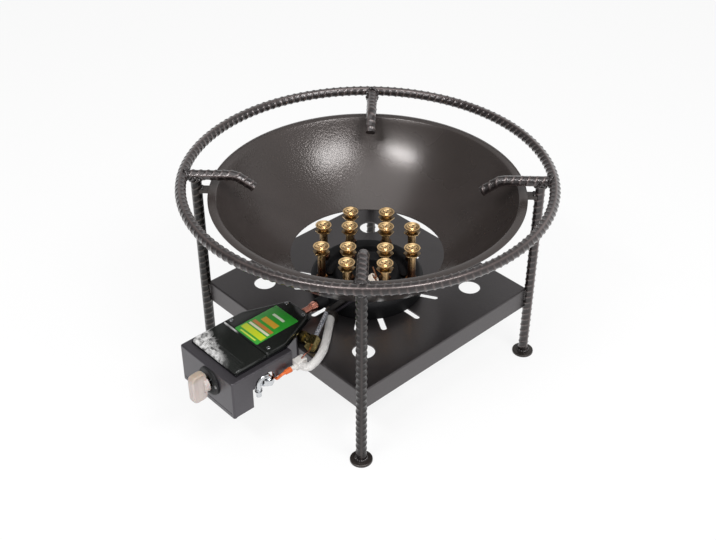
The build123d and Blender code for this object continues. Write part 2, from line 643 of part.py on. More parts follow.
# Return spring between the washer and the plug
spring_front_y = WASHER_FRONT_Y + WASHER_T + SPRING_GAP + SPRING_WIRE_R
spring_length = PLUG_FRONT_Y - SPRING_GAP - SPRING_WIRE_R - spring_front_y
with BuildPart() as return_spring:
    with BuildLine():
        coil = Helix(SPRING_PITCH, spring_length, SPRING_R, center=(KNOB_X, spring_front_y, KNOB_Z),
                     direction=(0, 1, 0))
    with BuildSketch(Plane(coil @ 0, z_dir=coil % 0)):
        Circle(SPRING_WIRE_R)
    sweep(path=coil, is_frenet=True)
export(return_spring, "return_spring")

# Collar on the panel round the stem, its screw heads sunk flush
with BuildPart() as knob_collar:
    valve_rod(BOX_FRONT_Y - COLLAR_T, BOX_FRONT_Y, COLLAR_R)
    chamfer(knob_collar.faces().sort_by(Axis.Y)[0].edges(), COLLAR_T / 3)
    valve_rod(BOX_FRONT_Y - COLLAR_T, BOX_FRONT_Y, COLLAR_BORE_R, mode=Mode.SUBTRACT)
    with BuildSketch(valve_plane(BOX_FRONT_Y - COLLAR_T)):
        with Locations((COLLAR_SCREW_X, 0), (-COLLAR_SCREW_X, 0)):
            Circle(COLLAR_SCREW_R)
    extrude(amount=COLLAR_T, mode=Mode.SUBTRACT)
    with BuildSketch(valve_plane(BOX_FRONT_Y - COLLAR_T)):
        with Locations((COLLAR_SCREW_X, 0), (-COLLAR_SCREW_X, 0)):
            Circle(SCREW_HEAD_R)
    extrude(amount=SCREW_HEAD_H, mode=Mode.SUBTRACT)
export(knob_collar, "knob_collar")

# Knob: a wing to turn it by, on a round hub that takes the stem
with BuildPart() as knob:
    with BuildSketch(Plane.YZ.offset(KNOB_X)):
        with Locations((KNOB_BACK_Y - WING_DEPTH / 2, KNOB_Z)):
            RectangleRounded(WING_DEPTH, WING_H, WING_CORNER_R)
    extrude(amount=WING_T / 2, both=True)
    fillet(knob.faces().filter_by(Axis.X).edges(), EDGE_R)
    valve_rod(KNOB_BACK_Y - KNOB_HUB_L, KNOB_BACK_Y, KNOB_HUB_R)
    valve_rod(STEM_FRONT_Y, KNOB_BACK_Y, VALVE_STEM_R, mode=Mode.SUBTRACT)
export(knob, "knob")

# Gas inlet: tube from the valve's side, up through the notch, over and down to a barbed hose tail
with BuildPart() as gas_inlet:
    with BuildLine():
        inlet_line = FilletPolyline(*INLET_ROUTE, radius=INLET_BENDS)
    tube_along(inlet_line, INLET_R)
    neck_x, neck_y = INLET_ROUTE[2][:2]
    tail_x, tail_y, tail_top = INLET_ROUTE[-1]
    with BuildSketch(Plane.XY.offset(INLET_HEX_Z)):
        with Locations((neck_x, neck_y)):
            RegularPolygon(INLET_HEX_R, 6)
    extrude(amount=INLET_HEX_H)
    with BuildSketch(Plane.XY.offset(TAIL_TIP_Z)):
        with Locations((tail_x, tail_y)):
            Circle(TAIL_TIP_R)
    extrude(amount=tail_top - TAIL_TIP_Z)
    barb_h = (tail_top - TAIL_TIP_Z - TAIL_TIP_L) / BARB_COUNT
    for step in range(BARB_COUNT):
        with Locations((tail_x, tail_y, TAIL_TIP_Z + TAIL_TIP_L + step * barb_h)):
            Cone(TAIL_TIP_R, BARB_R, barb_h, align=BASE_ALIGN)
    tube_along(inlet_line, INLET_BORE_R, mode=Mode.SUBTRACT)
    with BuildSketch(Plane.XY.offset(TAIL_TIP_Z)):
        with Locations((tail_x, tail_y)):
            Circle(INLET_BORE_R)
    extrude(amount=tail_top - TAIL_TIP_Z, mode=Mode.SUBTRACT)
export(gas_inlet, "gas_inlet")


def case_outline(z, front_y, inset=0.0):
    """Plan of the igniter case at a height, from a given y to its rear end, drawn in by an inset."""
    half_w = CASE_HALF_W - inset
    rear_half_w = CASE_REAR_HALF_W - inset
    with BuildSketch(Plane.XY.offset(z)) as outline:
        with BuildLine():
            Polyline((-half_w, front_y + inset), (half_w, front_y + inset), (half_w, CASE_TAPER_Y),
                     (rear_half_w, CASE_REAR_Y - inset), (-rear_half_w, CASE_REAR_Y - inset),
                     (-half_w, CASE_TAPER_Y), close=True)
        make_face()
    return outline.sketch


# Lower case: a deck on the box's top and a tub for the battery hung through its window
tub_mid_y = (TUB_FRONT_Y + TUB_REAR_Y) / 2
tub_length = TUB_REAR_Y - TUB_FRONT_Y
with BuildPart() as case_tub:
    extrude(case_outline(BOX_TOP, CASE_FRONT_Y), amount=DECK_TOP - BOX_TOP)
    with Locations((0, tub_mid_y, TUB_BOTTOM)):
        Box(2 * TUB_HALF_W, tub_length, BOX_TOP - TUB_BOTTOM, align=BASE_ALIGN)
    with Locations((0, tub_mid_y, TUB_BOTTOM + CASE_T)):
        Box(2 * (TUB_HALF_W - CASE_T), tub_length - 2 * CASE_T, DECK_TOP - TUB_BOTTOM, align=BASE_ALIGN,
            mode=Mode.SUBTRACT)
export(case_tub, "case_tub")

# Rear cover over the leads, with chamfered top edges
with BuildPart() as case_top:
    extrude(case_outline(DECK_TOP, CASE_SEAM_Y), amount=CASE_TOP - DECK_TOP)
    chamfer(case_top.faces().sort_by(Axis.Z)[-1].edges(), CASE_CHAMFER)
    extrude(case_outline(DECK_TOP, CASE_SEAM_Y, CASE_CHAMFER), amount=CASE_TOP - DECK_TOP - CASE_T,
            mode=Mode.SUBTRACT)
export(case_top, "case_top")

# Battery cover: slides forward off the case, with a sloping front edge and grip ribs
cover_floor = DECK_TOP + COVER_GAP
cover_rear_y = CASE_SEAM_Y - COVER_GAP
cover_mid_y = (CASE_FRONT_Y + cover_rear_y) / 2
with BuildPart() as battery_cover:
    with Locations((0, cover_mid_y, cover_floor)):
        Box(2 * CASE_HALF_W, cover_rear_y - CASE_FRONT_Y, COVER_TOP - cover_floor, align=BASE_ALIGN)
    chamfer(battery_cover.faces().sort_by(Axis.Z)[-1].edges().sort_by(Axis.Y)[0], COVER_SLOPE)
    with Locations((0, cover_mid_y + COVER_SLOPE / 2, cover_floor)):
        Box(2 * (CASE_HALF_W - CASE_T), cover_rear_y - CASE_FRONT_Y - COVER_SLOPE - 2 * CASE_T,
            COVER_TOP - cover_floor - CASE_T, align=BASE_ALIGN, mode=Mode.SUBTRACT)
    with BuildSketch(Plane.XY.offset(COVER_TOP)):
        with Locations((0, CASE_FRONT_Y + COVER_SLOPE + GRIP_COUNT * GRIP_PITCH / 2)):
            with GridLocations(1, GRIP_PITCH, 1, GRIP_COUNT):
                SlotOverall(GRIP_L, GRIP_W)
    extrude(amount=GRIP_H)
export(battery_cover, "battery_cover")

# Label plate on the rear cover
with BuildPart() as label_plate:
    with BuildSketch(Plane.XY.offset(CASE_TOP)):
        with Locations((0, LABEL_Y)):
            RectangleRounded(LABEL_W, LABEL_L, LABEL_CORNER_R)
    extrude(amount=LABEL_T)
export(label_plate, "label_plate")

# Screws: four in the rear cover, two through the collar into the panel
case_screw_places = [(side * x, y) for side in (-1, 1) for x, y in CASE_SCREWS]
with BuildPart() as cover_screws:
    with BuildSketch(Plane.XY.offset(CASE_TOP)):
        with Locations(*case_screw_places):
            Circle(SCREW_HEAD_R)
    extrude(amount=SCREW_HEAD_H)
    with BuildSketch(valve_plane(BOX_FRONT_Y - COLLAR_T)):
        with Locations((COLLAR_SCREW_X, 0), (-COLLAR_SCREW_X, 0)):
            Circle(COLLAR_SCREW_R)
    extrude(amount=COLLAR_T + SHEET_T)
    with BuildSketch(valve_plane(BOX_FRONT_Y - COLLAR_T)):
        with Locations((COLLAR_SCREW_X, 0), (-COLLAR_SCREW_X, 0)):
            Circle(SCREW_HEAD_R)
    extrude(amount=SCREW_HEAD_H)
    fillet(cover_screws.faces().sort_by(Axis.Z)[-4:].edges(), SCREW_HEAD_H / 2)
    fillet(cover_screws.faces().sort_by(Axis.Y)[:2].edges(), SCREW_HEAD_H / 2)
export(cover_screws, "cover_screws")

# Battery lying across the tub, and its two contact plates
cell_plane = Plane(origin=(-CELL_L / 2, CELL_Y, CELL_Z), x_dir=(0, 1, 0), z_dir=(1, 0, 0))
with BuildPart() as battery:
    with BuildSketch(cell_plane):
        Circle(CELL_R)
    extrude(amount=CELL_L)
    with BuildSketch(cell_plane.offset(CELL_L)):
        Circle(CELL_NUB_R)
    extrude(amount=CELL_NUB_L)
export(battery, "battery")

with BuildPart() as battery_contacts:
    for contact_x in (-CELL_L / 2 - CONTACT_T / 2, CELL_L / 2 + CELL_NUB_L + CONTACT_T / 2):
        with Locations((contact_x, CELL_Y, TUB_BOTTOM + CASE_T)):
            Box(CONTACT_T, 2 * CELL_R, 2 * CELL_R, align=BASE_ALIGN)
export(battery_contacts, "battery_contacts")

# Potted spark module fixed under the box's top
with BuildPart() as spark_module:
    with Locations((*MODULE_AT, BOX_TOP - SHEET_T - MODULE_SIZE[2])):
        Box(*MODULE_SIZE, align=BASE_ALIGN)
    fillet(spark_module.edges().filter_by(Axis.Z), EDGE_R)
export(spark_module, "spark_module")

# Spark electrode: a ceramic rod with a thick cupped head, leaning from the bracket to the jets
lean = (ROD_TOP - ROD_FOOT).normalized()
rod_length = (ROD_TOP - ROD_FOOT).length
rod_plane = Plane(origin=ROD_FOOT, z_dir=lean)
with BuildPart() as spark_electrode:
    with BuildSketch(rod_plane):
        Circle(CERAMIC_R)
    extrude(amount=rod_length)
    with BuildSketch(rod_plane.offset(rod_length - CERAMIC_HEAD_L)):
        Circle(CERAMIC_HEAD_R)
    extrude(amount=CERAMIC_HEAD_L)
    with BuildSketch(rod_plane.offset(rod_length)):
        Circle(CERAMIC_CUP_R)
    extrude(amount=-CERAMIC_CUP_L, mode=Mode.SUBTRACT)
    fillet(spark_electrode.faces().sort_by(Axis((0, 0, 0), lean))[-1].edges(), CERAMIC_EDGE_R)
export(spark_electrode, "spark_electrode")

# Its metal cap in the head's cup, and the wire, bent towards the nearest jet
with BuildPart() as electrode_wire:
    button_plane = rod_plane.offset(rod_length - CERAMIC_CUP_L)
    with BuildSketch(button_plane):
        Circle(SPARK_BUTTON_R)
    extrude(amount=SPARK_BUTTON_T)
    with BuildLine():
        wire_line = Polyline(button_plane.origin, ROD_TOP + lean * SPARK_WIRE_R * 2, SPARK_TIP)
    with BuildSketch(Plane(wire_line @ 0, z_dir=lean)):
        Circle(SPARK_WIRE_R)
    sweep(path=wire_line, transition=Transition.ROUND)
export(electrode_wire, "electrode_wire")

# Flame sensor: a thinner metal rod beside the electrode
with BuildPart() as flame_sensor:
    with BuildSketch(Plane(origin=ROD_FOOT + SENSOR_SHIFT, z_dir=lean)):
        Circle(SENSOR_R)
    extrude(amount=rod_length - SENSOR_SHORTER)
    fillet(flame_sensor.faces().sort_by(Axis((0, 0, 0), lean))[-1].edges(), SENSOR_R / 2)
export(flame_sensor, "flame_sensor")

# Bracket on the tray that holds both rods
with BuildPart() as electrode_bracket:
    with BuildSketch(bracket_plane):
        Rectangle(BRACKET_SIZE[0], BRACKET_SIZE[1])
    extrude(amount=BRACKET_SIZE[2])
    fillet(electrode_bracket.edges().filter_by(Axis.Z), EDGE_R)
    add(spark_electrode.part, mode=Mode.SUBTRACT)
    add(flame_sensor.part, mode=Mode.SUBTRACT)
export(electrode_bracket, "electrode_bracket")

# Grey tube of the flame sensor, straight from the bracket to the safety valve's nut
with BuildPart() as sensor_tube:
    with BuildLine():
        sensor_line = Line(BRANCH_END + to_bracket * SENSOR_NUT_HALF_L, sensor_exit)
    tube_along(sensor_line, SENSOR_TUBE_R)
    add(electrode_bracket.part, mode=Mode.SUBTRACT)
    add(safety_valve.part, mode=Mode.SUBTRACT)
export(sensor_tube, "sensor_tube")


def arc_radii(route):
    """Radius at each inner point of a route: a share of its shorter run over tan of half the turn."""
    radii = []
    for before, here, after in zip(route, route[1:], route[2:]):
        run_in = Vector(here) - Vector(before)
        run_out = Vector(after) - Vector(here)
        half_turn = radians(run_in.get_angle(run_out)) / 2
        radii.append(ARC_SHARE * min(run_in.length, run_out.length) / tan(half_turn))
    return radii


# Glass-fibre sleeve round the spark lead: over the tray, down past its edge and back to the box
sleeve_radii = arc_radii(SLEEVE_ROUTE)
print("sleeve radii", [round(radius, 1) for radius in sleeve_radii])
with BuildPart() as lead_sleeve:
    with BuildLine():
        sleeve_line = FilletPolyline(*SLEEVE_ROUTE, radius=sleeve_radii)
    tube_along(sleeve_line, SLEEVE_R)
    print("sleeve length", round(sleeve_line.length, 1), "volume over section",
          round(lead_sleeve.part.volume / (pi * SLEEVE_R**2), 1))
    add(electrode_bracket.part, mode=Mode.SUBTRACT)
export(lead_sleeve, "lead_sleeve")

# White connector against the rear edge of the box's side, cut to take the sleeve's end, with a nub in front
with BuildPart() as white_connector:
    with Locations(CONNECTOR_AT):
        Box(*CONNECTOR_SIZE)
    fillet(white_connector.edges().filter_by(Axis.Y), EDGE_R)
    with BuildSketch(Plane(origin=NUB_AT, z_dir=(0, -1, 0))):
        Circle(NUB_R)
    extrude(amount=NUB_L)
    add(lead_sleeve.part, mode=Mode.SUBTRACT)
export(white_connector, "white_connector")

# Orange lead: a boot on the connector's nub, then under the box's side and up to the spark module
boot_rear = NUB_AT - Vector(0, NUB_L, 0)
boot_front = boot_rear - Vector(0, BOOT_L, 0)
module_foot = Vector(*MODULE_AT, BOX_TOP - SHEET_T - MODULE_SIZE[2]) + Vector(6, -1, 0)
with BuildPart() as orange_lead:
    with BuildSketch(Plane(origin=boot_rear, z_dir=(0, -1, 0))):
        Circle(BOOT_R)
    extrude(amount=BOOT_L, taper=4)
    with BuildLine():
        lead_line = FilletPolyline(boot_front, boot_front - Vector(0, 5, 0), *LEAD_POINTS,
                                   module_foot - Vector(0, 0, 9), module_foot, radius=LEAD_BEND)
    tube_along(lead_line, LEAD_R)
export(orange_lead, "orange_lead")

# Thin copper lead from the safety valve's nut to the connector's top
connector_top = Vector(60.0, -172.0, CONNECTOR_AT[2] + CONNECTOR_SIZE[2] / 2)
with BuildPart() as sensor_lead:
    with BuildLine():
        nut_front = BRANCH_END - to_bracket * SENSOR_NUT_HALF_L
        copper_line = FilletPolyline(nut_front, nut_front - to_bracket * 7, connector_top + Vector(1, 5, 5),
                                     connector_top, radius=SENSOR_LEAD_BEND)
    tube_along(copper_line, SENSOR_LEAD_R)
    add(white_connector.part, mode=Mode.SUBTRACT)
export(sensor_lead, "sensor_lead")
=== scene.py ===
import bmesh
import bpy
import numpy as np
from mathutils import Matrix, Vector


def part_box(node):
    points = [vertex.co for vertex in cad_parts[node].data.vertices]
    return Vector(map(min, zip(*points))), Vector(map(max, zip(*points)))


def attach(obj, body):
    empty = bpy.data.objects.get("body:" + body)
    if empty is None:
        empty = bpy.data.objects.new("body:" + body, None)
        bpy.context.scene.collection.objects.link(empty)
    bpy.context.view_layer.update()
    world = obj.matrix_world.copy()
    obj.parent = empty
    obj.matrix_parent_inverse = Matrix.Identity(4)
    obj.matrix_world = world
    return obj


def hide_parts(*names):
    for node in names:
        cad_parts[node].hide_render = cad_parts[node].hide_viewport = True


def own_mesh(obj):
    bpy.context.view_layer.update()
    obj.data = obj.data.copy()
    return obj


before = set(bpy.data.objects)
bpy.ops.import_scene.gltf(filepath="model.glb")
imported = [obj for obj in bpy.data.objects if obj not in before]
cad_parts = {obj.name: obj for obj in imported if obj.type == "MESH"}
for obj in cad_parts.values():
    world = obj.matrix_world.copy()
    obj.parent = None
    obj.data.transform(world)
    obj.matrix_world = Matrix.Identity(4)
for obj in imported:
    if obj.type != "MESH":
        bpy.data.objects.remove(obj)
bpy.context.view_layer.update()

# Ring, legs and pot arms of the stand. They are hot-rolled 14 mm reinforcing bar, cut, bent cold and welded,
# then sprayed with a dark hammered paint. The ribs' crowns are drawn lighter, partly for paint that thins
# there and partly as a painted highlight. The two left legs carry a darker copy of the paint as painted
# shade, and the front right leg a less dark copy with dimmer crowns.
MM = 0.001
BAR_CORE_R = 6.4 * MM
RIB_PITCH = 10.0 * MM
RIB_H = 0.95 * MM
RIB_HALF_W = 1.5 * MM
RIB_LEAN = 2.6 * MM           # a rib's end runs ahead of its middle by this
RIB_FADE = 0.6                # under 1, so that a rib rises quickly beside a spine
SPINE_H = 0.9 * MM            # the two ribs that run along the bar
SPINE_HALF_W = 0.22           # in radians round the bar
# the crowns' lighter tone is partly a painted highlight
CROWN_HIGHLIGHT_FALL = 1.5              # over 1, so that the light tone keeps to the crowns
BAR_STEP = 0.8 * MM
BAR_AROUND = 36
RING_R = 243 * MM
RING_Z = 290 * MM
RING_SPINE = 1.47             # where a spine lies round the ring's section, and how far it wanders
RING_WANDER = 0.6
ARM_Z = 289 * MM
ARM_RUN = ((237 * MM, ARM_Z), (173 * MM, ARM_Z), (150 * MM, 272 * MM))
ARM_BEND_R = 22 * MM
ARM_SPINE_TURN = 0.3          # from each arm to the next
LEG_R = 160 * MM * 2**0.5
LEG_SPAN = (4 * MM, 284 * MM)
LEG_SPINES = {"front_right": 0.05, "front_left": 0.1, "rear_right": 2.3, "rear_left": 0.6}
CORNERS = {"front_right": -45, "front_left": -135, "rear_right": 45, "rear_left": 135}
TONE_DRIFT = 70 * MM          # over this distance the paint's tone drifts
GLOSS_DRIFT = 0.06            # and its roughness goes up and down by this


def linear(hex_colour):
    """Linear RGBA of an sRGB hex colour."""
    srgb = np.array([int(hex_colour[k:k + 2], 16) for k in (1, 3, 5)]) / 255
    low = srgb <= 0.04045
    return (*np.where(low, srgb / 12.92, ((srgb + 0.055) / 1.055) ** 2.4), 1.0)


def add_node(tree, kind, settings=None, links=None):
    """Adds a shader node: settings are its properties or input values, links the outputs that feed its
    inputs. A node in place of an output stands for its first one."""
    node = tree.nodes.new("ShaderNode" + kind)
    for key, value in (settings or {}).items():
        if isinstance(key, str) and hasattr(node, key):
            setattr(node, key, value)
        else:
            node.inputs[key].default_value = value
    for key, source in (links or {}).items():
        output = source.outputs[0] if isinstance(source, bpy.types.Node) else source
        tree.links.new(output, node.inputs[key])
    return node


def new_material(name, **sockets):
    """A material whose shader has these constants on its own sockets. Returns the material, its tree, its
    shader and the place on the object that textures need."""
    material = bpy.data.materials.new(name)
    material.use_nodes = True
    tree = material.node_tree
    shader = tree.nodes["Principled BSDF"]
    for socket, value in sockets.items():
        shader.inputs[socket.replace("_", " ")].default_value = value
    return material, tree, shader, add_node(tree, "TexCoord").outputs["Object"]


def set_look(tree, shader, tone, colours, gloss=None, relief=None):
    """Ends a material. The tone goes from the first colour to the second, each a hex colour or an output.
    gloss is a node and the roughnesses that it goes between, relief a node and the settings of its bump."""
    mix = add_node(tree, "Mix", {"data_type": "RGBA"}, {0: tone})
    for socket, colour in zip(mix.inputs[6:8], colours):
        if isinstance(colour, str):
            socket.default_value = linear(colour)
        else:
            tree.links.new(colour, socket)
    tree.links.new(mix.outputs[2], shader.inputs["Base Color"])
    if gloss:
        spread = add_node(tree, "MapRange", {"To Min": gloss[1], "To Max": gloss[2]}, {"Value": gloss[0]})
        tree.links.new(spread.outputs[0], shader.inputs["Roughness"])
    if relief:
        bump = add_node(tree, "Bump", relief[1], {"Height": relief[0]})
        tree.links.new(bump.outputs[0], shader.inputs["Normal"])


def add_mesh(name, shells, sharp):
    """Mesh of closed shells. A shell is rows of points and a flag: each row is joined to the next, and then
    flat ends close the shell, or where the flag is set the last row joins the first."""
    points, faces, start = [], [], 0
    for rows, ring in shells:
        count, around = rows.shape[:2]
        index = np.arange(count * around).reshape(count, around) + start
        low = index if ring else index[:-1]
        high = np.roll(index, -1, 0) if ring else index[1:]
        quads = np.stack([low, np.roll(low, -1, 1), np.roll(high, -1, 1), high], -1)
        faces += quads.reshape(-1, 4).tolist()
        if not ring:
            faces += [index[0, ::-1].tolist(), index[-1].tolist()]
        points.append(rows.reshape(-1, 3))
        start += count * around
    mesh = bpy.data.meshes.new(name)
    mesh.from_pydata(np.concatenate(points).tolist(), [], faces)
    shape = bmesh.new()
    shape.from_mesh(mesh)
    bmesh.ops.recalc_face_normals(shape, faces=shape.faces)
    shape.to_mesh(mesh)
    shape.free()
    mesh.polygons.foreach_set("use_smooth", np.ones(len(mesh.polygons), bool))
    mesh.set_sharp_from_angle(angle=np.radians(sharp))
    return mesh


def add_object(name, data):
    """An object in the scene."""
    thing = bpy.data.objects.new(name, data)
    bpy.context.scene.collection.objects.link(thing)
    return thing


def add_piece(name, shells, material, body="stand", stands_for=(), sharp=40):
    """A piece in its place, made of shells and riding on a body, in the place of the solids it stands for.
    Edges that turn by more than the sharp angle stay crisp."""
    piece = add_object(name, add_mesh(name, shells, sharp))
    piece.data.materials.append(material)
    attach(piece, body)
    if stands_for:
        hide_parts(*stands_for)
    return piece


def dress(material, *nodes):
    """Gives solids that keep their shape a better material."""
    for node in nodes:
        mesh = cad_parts[node].data
        mesh.materials.clear()
        mesh.materials.append(material)


def hammered_paint(name, colours, dimple_mm, depth_mm, roughness, metallic, coat=0.35, crown_highlights=False,
                   thick_side=False):
    """Metallic stove paint, sprayed on steel: it dries to shallow dimples under a clear skin, so its
    highlights break up into grains, and its tone drifts a little over a hand's breadth. On ribbed bar a
    lighter tone shows on the crowns, partly for paint that thins there and partly as a painted highlight.
    With a thick side, the dimples are deeper at the front left, where the spray came from."""
    material, tree, shader, where = new_material(name, Metallic=metallic, Coat_Weight=coat,
                                                 Coat_Roughness=0.22)
    drift = add_node(tree, "TexNoise", {"Scale": 1 / TONE_DRIFT, "Detail": 3.0}, {"Vector": where})
    dimple = add_node(tree, "TexVoronoi",
                      {"feature": "SMOOTH_F1", "Scale": 1 / (dimple_mm * MM), "Smoothness": 0.6},
                      {"Vector": where})
    peel = add_node(tree, "TexNoise", {"Scale": 1 / (0.4 * dimple_mm * MM), "Detail": 2.0},
                    {"Vector": where})
    relief = add_node(tree, "Math", {"operation": "MULTIPLY_ADD", 1: 0.5}, {0: peel, 2: dimple})
    if thick_side:
        place = add_node(tree, "SeparateXYZ", {}, {"Vector": where})
        away = add_node(tree, "Math", {"operation": "ADD"}, {0: place.outputs["X"], 1: place.outputs["Y"]})
        thick = add_node(tree, "MapRange", {"From Min": 60 * MM, "From Max": -80 * MM, "To Min": 0.15},
                         {"Value": away})
        relief = add_node(tree, "Math", {"operation": "MULTIPLY"}, {0: relief, 1: thick})
    tone = drift
    if crown_highlights:
        # the crown share lightens the tone: partly thinner paint, partly a painted highlight
        crown = add_node(tree, "Attribute", {"attribute_name": "crown"})
        tone = add_node(tree, "Math", {"operation": "MULTIPLY"}, {0: crown.outputs["Fac"], 1: drift})
    set_look(tree, shader, tone, colours, (drift, roughness - GLOSS_DRIFT, roughness + GLOSS_DRIFT),
             (relief, {"Strength": 0.8, "Distance": depth_mm * MM}))
    return material


def full_turn(count):
    """Angles of a full turn in equal steps."""
    return np.linspace(0, 2 * np.pi, count, endpoint=False)


def circle(turn, out, up):
    """Points of a circle with radius 1 at each turn, in the plane of two unit vectors."""
    return np.cos(turn)[..., None] * out + np.sin(turn)[..., None] * up


def unit(vectors):
    """The same directions with length 1."""
    return vectors / np.linalg.norm(vectors, axis=-1, keepdims=True)


def add_bar(name, node, paint, centre, out, up, along, spine, ring=False):
    """Ribbed bar along a path: its radius is the core, plus crescent ribs that fade out towards two spines,
    plus the spines. out and up span the section at each point, along is the distance from the start. Each
    point keeps how near it is to a crown, for the paint's lighter crowns, which are partly a painted
    highlight."""
    spine = np.broadcast_to(spine, along.shape)[:, None]
    turn = full_turn(BAR_AROUND) - spine
    fade = np.abs(np.sin(turn))
    lead = along[:, None] + RIB_LEAN * np.cos(turn) + RIB_PITCH / 4 * np.sign(np.sin(turn))
    off = lead - RIB_PITCH * np.round(lead / RIB_PITCH)
    rib = fade**RIB_FADE * np.exp(-((off / RIB_HALF_W) ** 2))
    crest = np.exp(-((np.arcsin(fade) / SPINE_HALF_W) ** 2))
    radius = BAR_CORE_R + np.maximum(RIB_H * rib, SPINE_H * crest)
    rows = centre[:, None] + radius[..., None] * circle(turn + spine, out[:, None], up[:, None])
    bar = add_piece(name, [(rows, ring)], paint, stands_for=[node], sharp=75)
    # the crown share drives the lighter crowns, which are partly a painted highlight
    crown = bar.data.attributes.new("crown", "FLOAT", "POINT")
    crown.data.foreach_set("value", (np.maximum(rib, crest) ** CROWN_HIGHLIGHT_FALL).astype(np.float32).ravel())


def bent_run(run, bend_r):
    """Distance along, points and tangents of a line with one bend: straight, an arc of the bend's radius,
    and straight again."""
    start, corner, end = (np.array(point) for point in run)
    first, second = corner - start, end - corner
    ahead, after = unit(first), unit(second)
    half_turn = np.arccos(np.clip(ahead @ after, -1, 1)) / 2
    tangent = bend_r * np.tan(half_turn)
    straight, arc = np.linalg.norm(first) - tangent, 2 * bend_r * half_turn
    total = straight + arc + np.linalg.norm(second) - tangent
    along = np.linspace(0, total, int(total / BAR_STEP))
    inward = np.array([-ahead[1], ahead[0]]) * np.sign(ahead[0] * after[1] - ahead[1] * after[0])
    turned_by = np.clip((along - straight) / bend_r, 0, 2 * half_turn)[:, None]
    points = (start + ahead * np.minimum(along, straight)[:, None]
              + bend_r * (np.sin(turned_by) * ahead + (1 - np.cos(turned_by)) * inward)
              + after * np.maximum(along - straight - arc, 0)[:, None])
    return along, points, np.cos(turned_by) * ahead + np.sin(turned_by) * inward


def corner_ways(angle):
    """Unit vectors at a corner of the stand: outwards from the stove's axis, and across that."""
    outward = np.array([np.cos(np.radians(angle)), np.sin(np.radians(angle)), 0.0])
    return outward, np.array([-outward[1], outward[0], 0.0])


bar_paint = hammered_paint("hammered_paint_on_bar", ("#2a2424", "#857673"), dimple_mm=1.6, depth_mm=0.2,
                           roughness=0.3, metallic=0.55, coat=0.85, crown_highlights=True)
# Darker copies of the bar paint, with dimmer crowns, are painted shade on the legs that carry them.
shade_bar_paint = hammered_paint("hammered_paint_with_painted_shade", ("#141211", "#6e655f"), dimple_mm=1.6,
                             depth_mm=0.2, roughness=0.32, metallic=0.6, crown_highlights=True)
half_shade_bar_paint = hammered_paint("hammered_paint_with_half_painted_shade", ("#1e1a1a", "#544b49"), dimple_mm=1.6,
                           depth_mm=0.2, roughness=0.32, metallic=0.55, crown_highlights=True)
leg_paints = {"front_right": half_shade_bar_paint, "front_left": shade_bar_paint, "rear_right": bar_paint,
              "rear_left": shade_bar_paint}
above = np.array([0.0, 0.0, 1.0])
rib_count = round(2 * np.pi * RING_R / RIB_PITCH)
round_ring = full_turn(int(2 * np.pi * RING_R / BAR_STEP))
ring_out = np.stack([np.cos(round_ring), np.sin(round_ring), 0 * round_ring], -1)
ring_up = np.broadcast_to(above, ring_out.shape)
ring_along = round_ring / (2 * np.pi) * rib_count * RIB_PITCH
ring_spine = RING_SPINE - RING_WANDER * np.cos(round_ring + np.pi / 4)
add_bar("top_ring_bar", "top_ring", bar_paint, RING_R * ring_out + RING_Z * ring_up, ring_out, ring_up,
        ring_along, ring_spine, ring=True)

arm_along, arm_points, arm_ahead = bent_run(ARM_RUN, ARM_BEND_R)
leg_along = np.arange(0, LEG_SPAN[1] - LEG_SPAN[0], BAR_STEP)
for number, (corner, angle) in enumerate(CORNERS.items()):
    outward, across = corner_ways(angle)
    arm_centre = arm_points[:, :1] * outward + arm_points[:, 1:] * above
    arm_up = arm_ahead[:, 1:] * -outward + arm_ahead[:, :1] * above
    arm_side = np.broadcast_to(across, arm_centre.shape)
    add_bar(f"pot_arm_bar_{corner}", f"pot_arm_{corner}", bar_paint, arm_centre, arm_side, -arm_up,
            arm_along, ARM_SPINE_TURN * number)
    leg_centre = LEG_R * outward + (LEG_SPAN[0] + leg_along[:, None]) * above
    leg_side = np.broadcast_to(across, leg_centre.shape)
    leg_out = np.broadcast_to(outward, leg_centre.shape)
    add_bar(f"leg_bar_{corner}", f"leg_{corner}", leg_paints[corner], leg_centre, leg_out, leg_side,
            leg_along, LEG_SPINES[corner])

# Weld beads where the bars meet each other, the feet, the tray's corners and the bowl's tabs. They are lumpy
# runs of melted wire, painted over with the rest.
BEAD_R = 2.4 * MM
FOOT_BEAD_R = 0.8 * BEAD_R
FOOT_BEAD_Z = 4.5 * MM
TRAY_BEAD_R = 0.7 * BEAD_R
TRAY_BEAD_L = 17 * MM
TRAY_BEAD_DROP = 1 * MM
TAB_BEAD_R = 0.8 * BEAD_R
BEAD_RIPPLE = (2.8 * MM, 0.13)   # length of a ripple, and its share of the radius
BEAD_LUMP = (8.7 * MM, 0.16)     # the same for a lump
BEAD_TIP = 0.02                  # a tip keeps this share of the bead's section
BEAD_AROUND = 12
BEAD_STEPS = 40
JOINT_STEPS = 72
BAR_R = 7 * MM
TRAY_HALF = 158 * MM
TRAY_TOP = 114 * MM
TAB_HALF_W = 6 * MM


def weld_bead(path, away, radius, ring):
    """Lumpy tube along a path: its radius ripples with the distance along it, swells slowly, and at the ends
    of an open run falls off as a half circle does. away points out of the joint, and turns the section."""
    step = np.roll(path, -1, 0) - path if ring else np.gradient(path, axis=0)
    ahead = unit(step)
    out = unit(away - (away * ahead).sum(1)[:, None] * ahead)
    side = np.cross(ahead, out)
    along = np.cumsum(np.linalg.norm(step, axis=1))
    swell = (1 + BEAD_RIPPLE[1] * np.cos(2 * np.pi * along / BEAD_RIPPLE[0])
             + BEAD_LUMP[1] * np.sin(2 * np.pi * along / BEAD_LUMP[0]))
    if not ring:
        near = np.minimum(np.minimum(along - along[0], along[-1] - along) / radius, 1)
        swell *= np.sqrt(np.clip(near * (2 - near), BEAD_TIP, 1))
    section = circle(full_turn(BEAD_AROUND), out[:, None], side[:, None])
    return path[:, None] + radius * swell[:, None, None] * section, ring


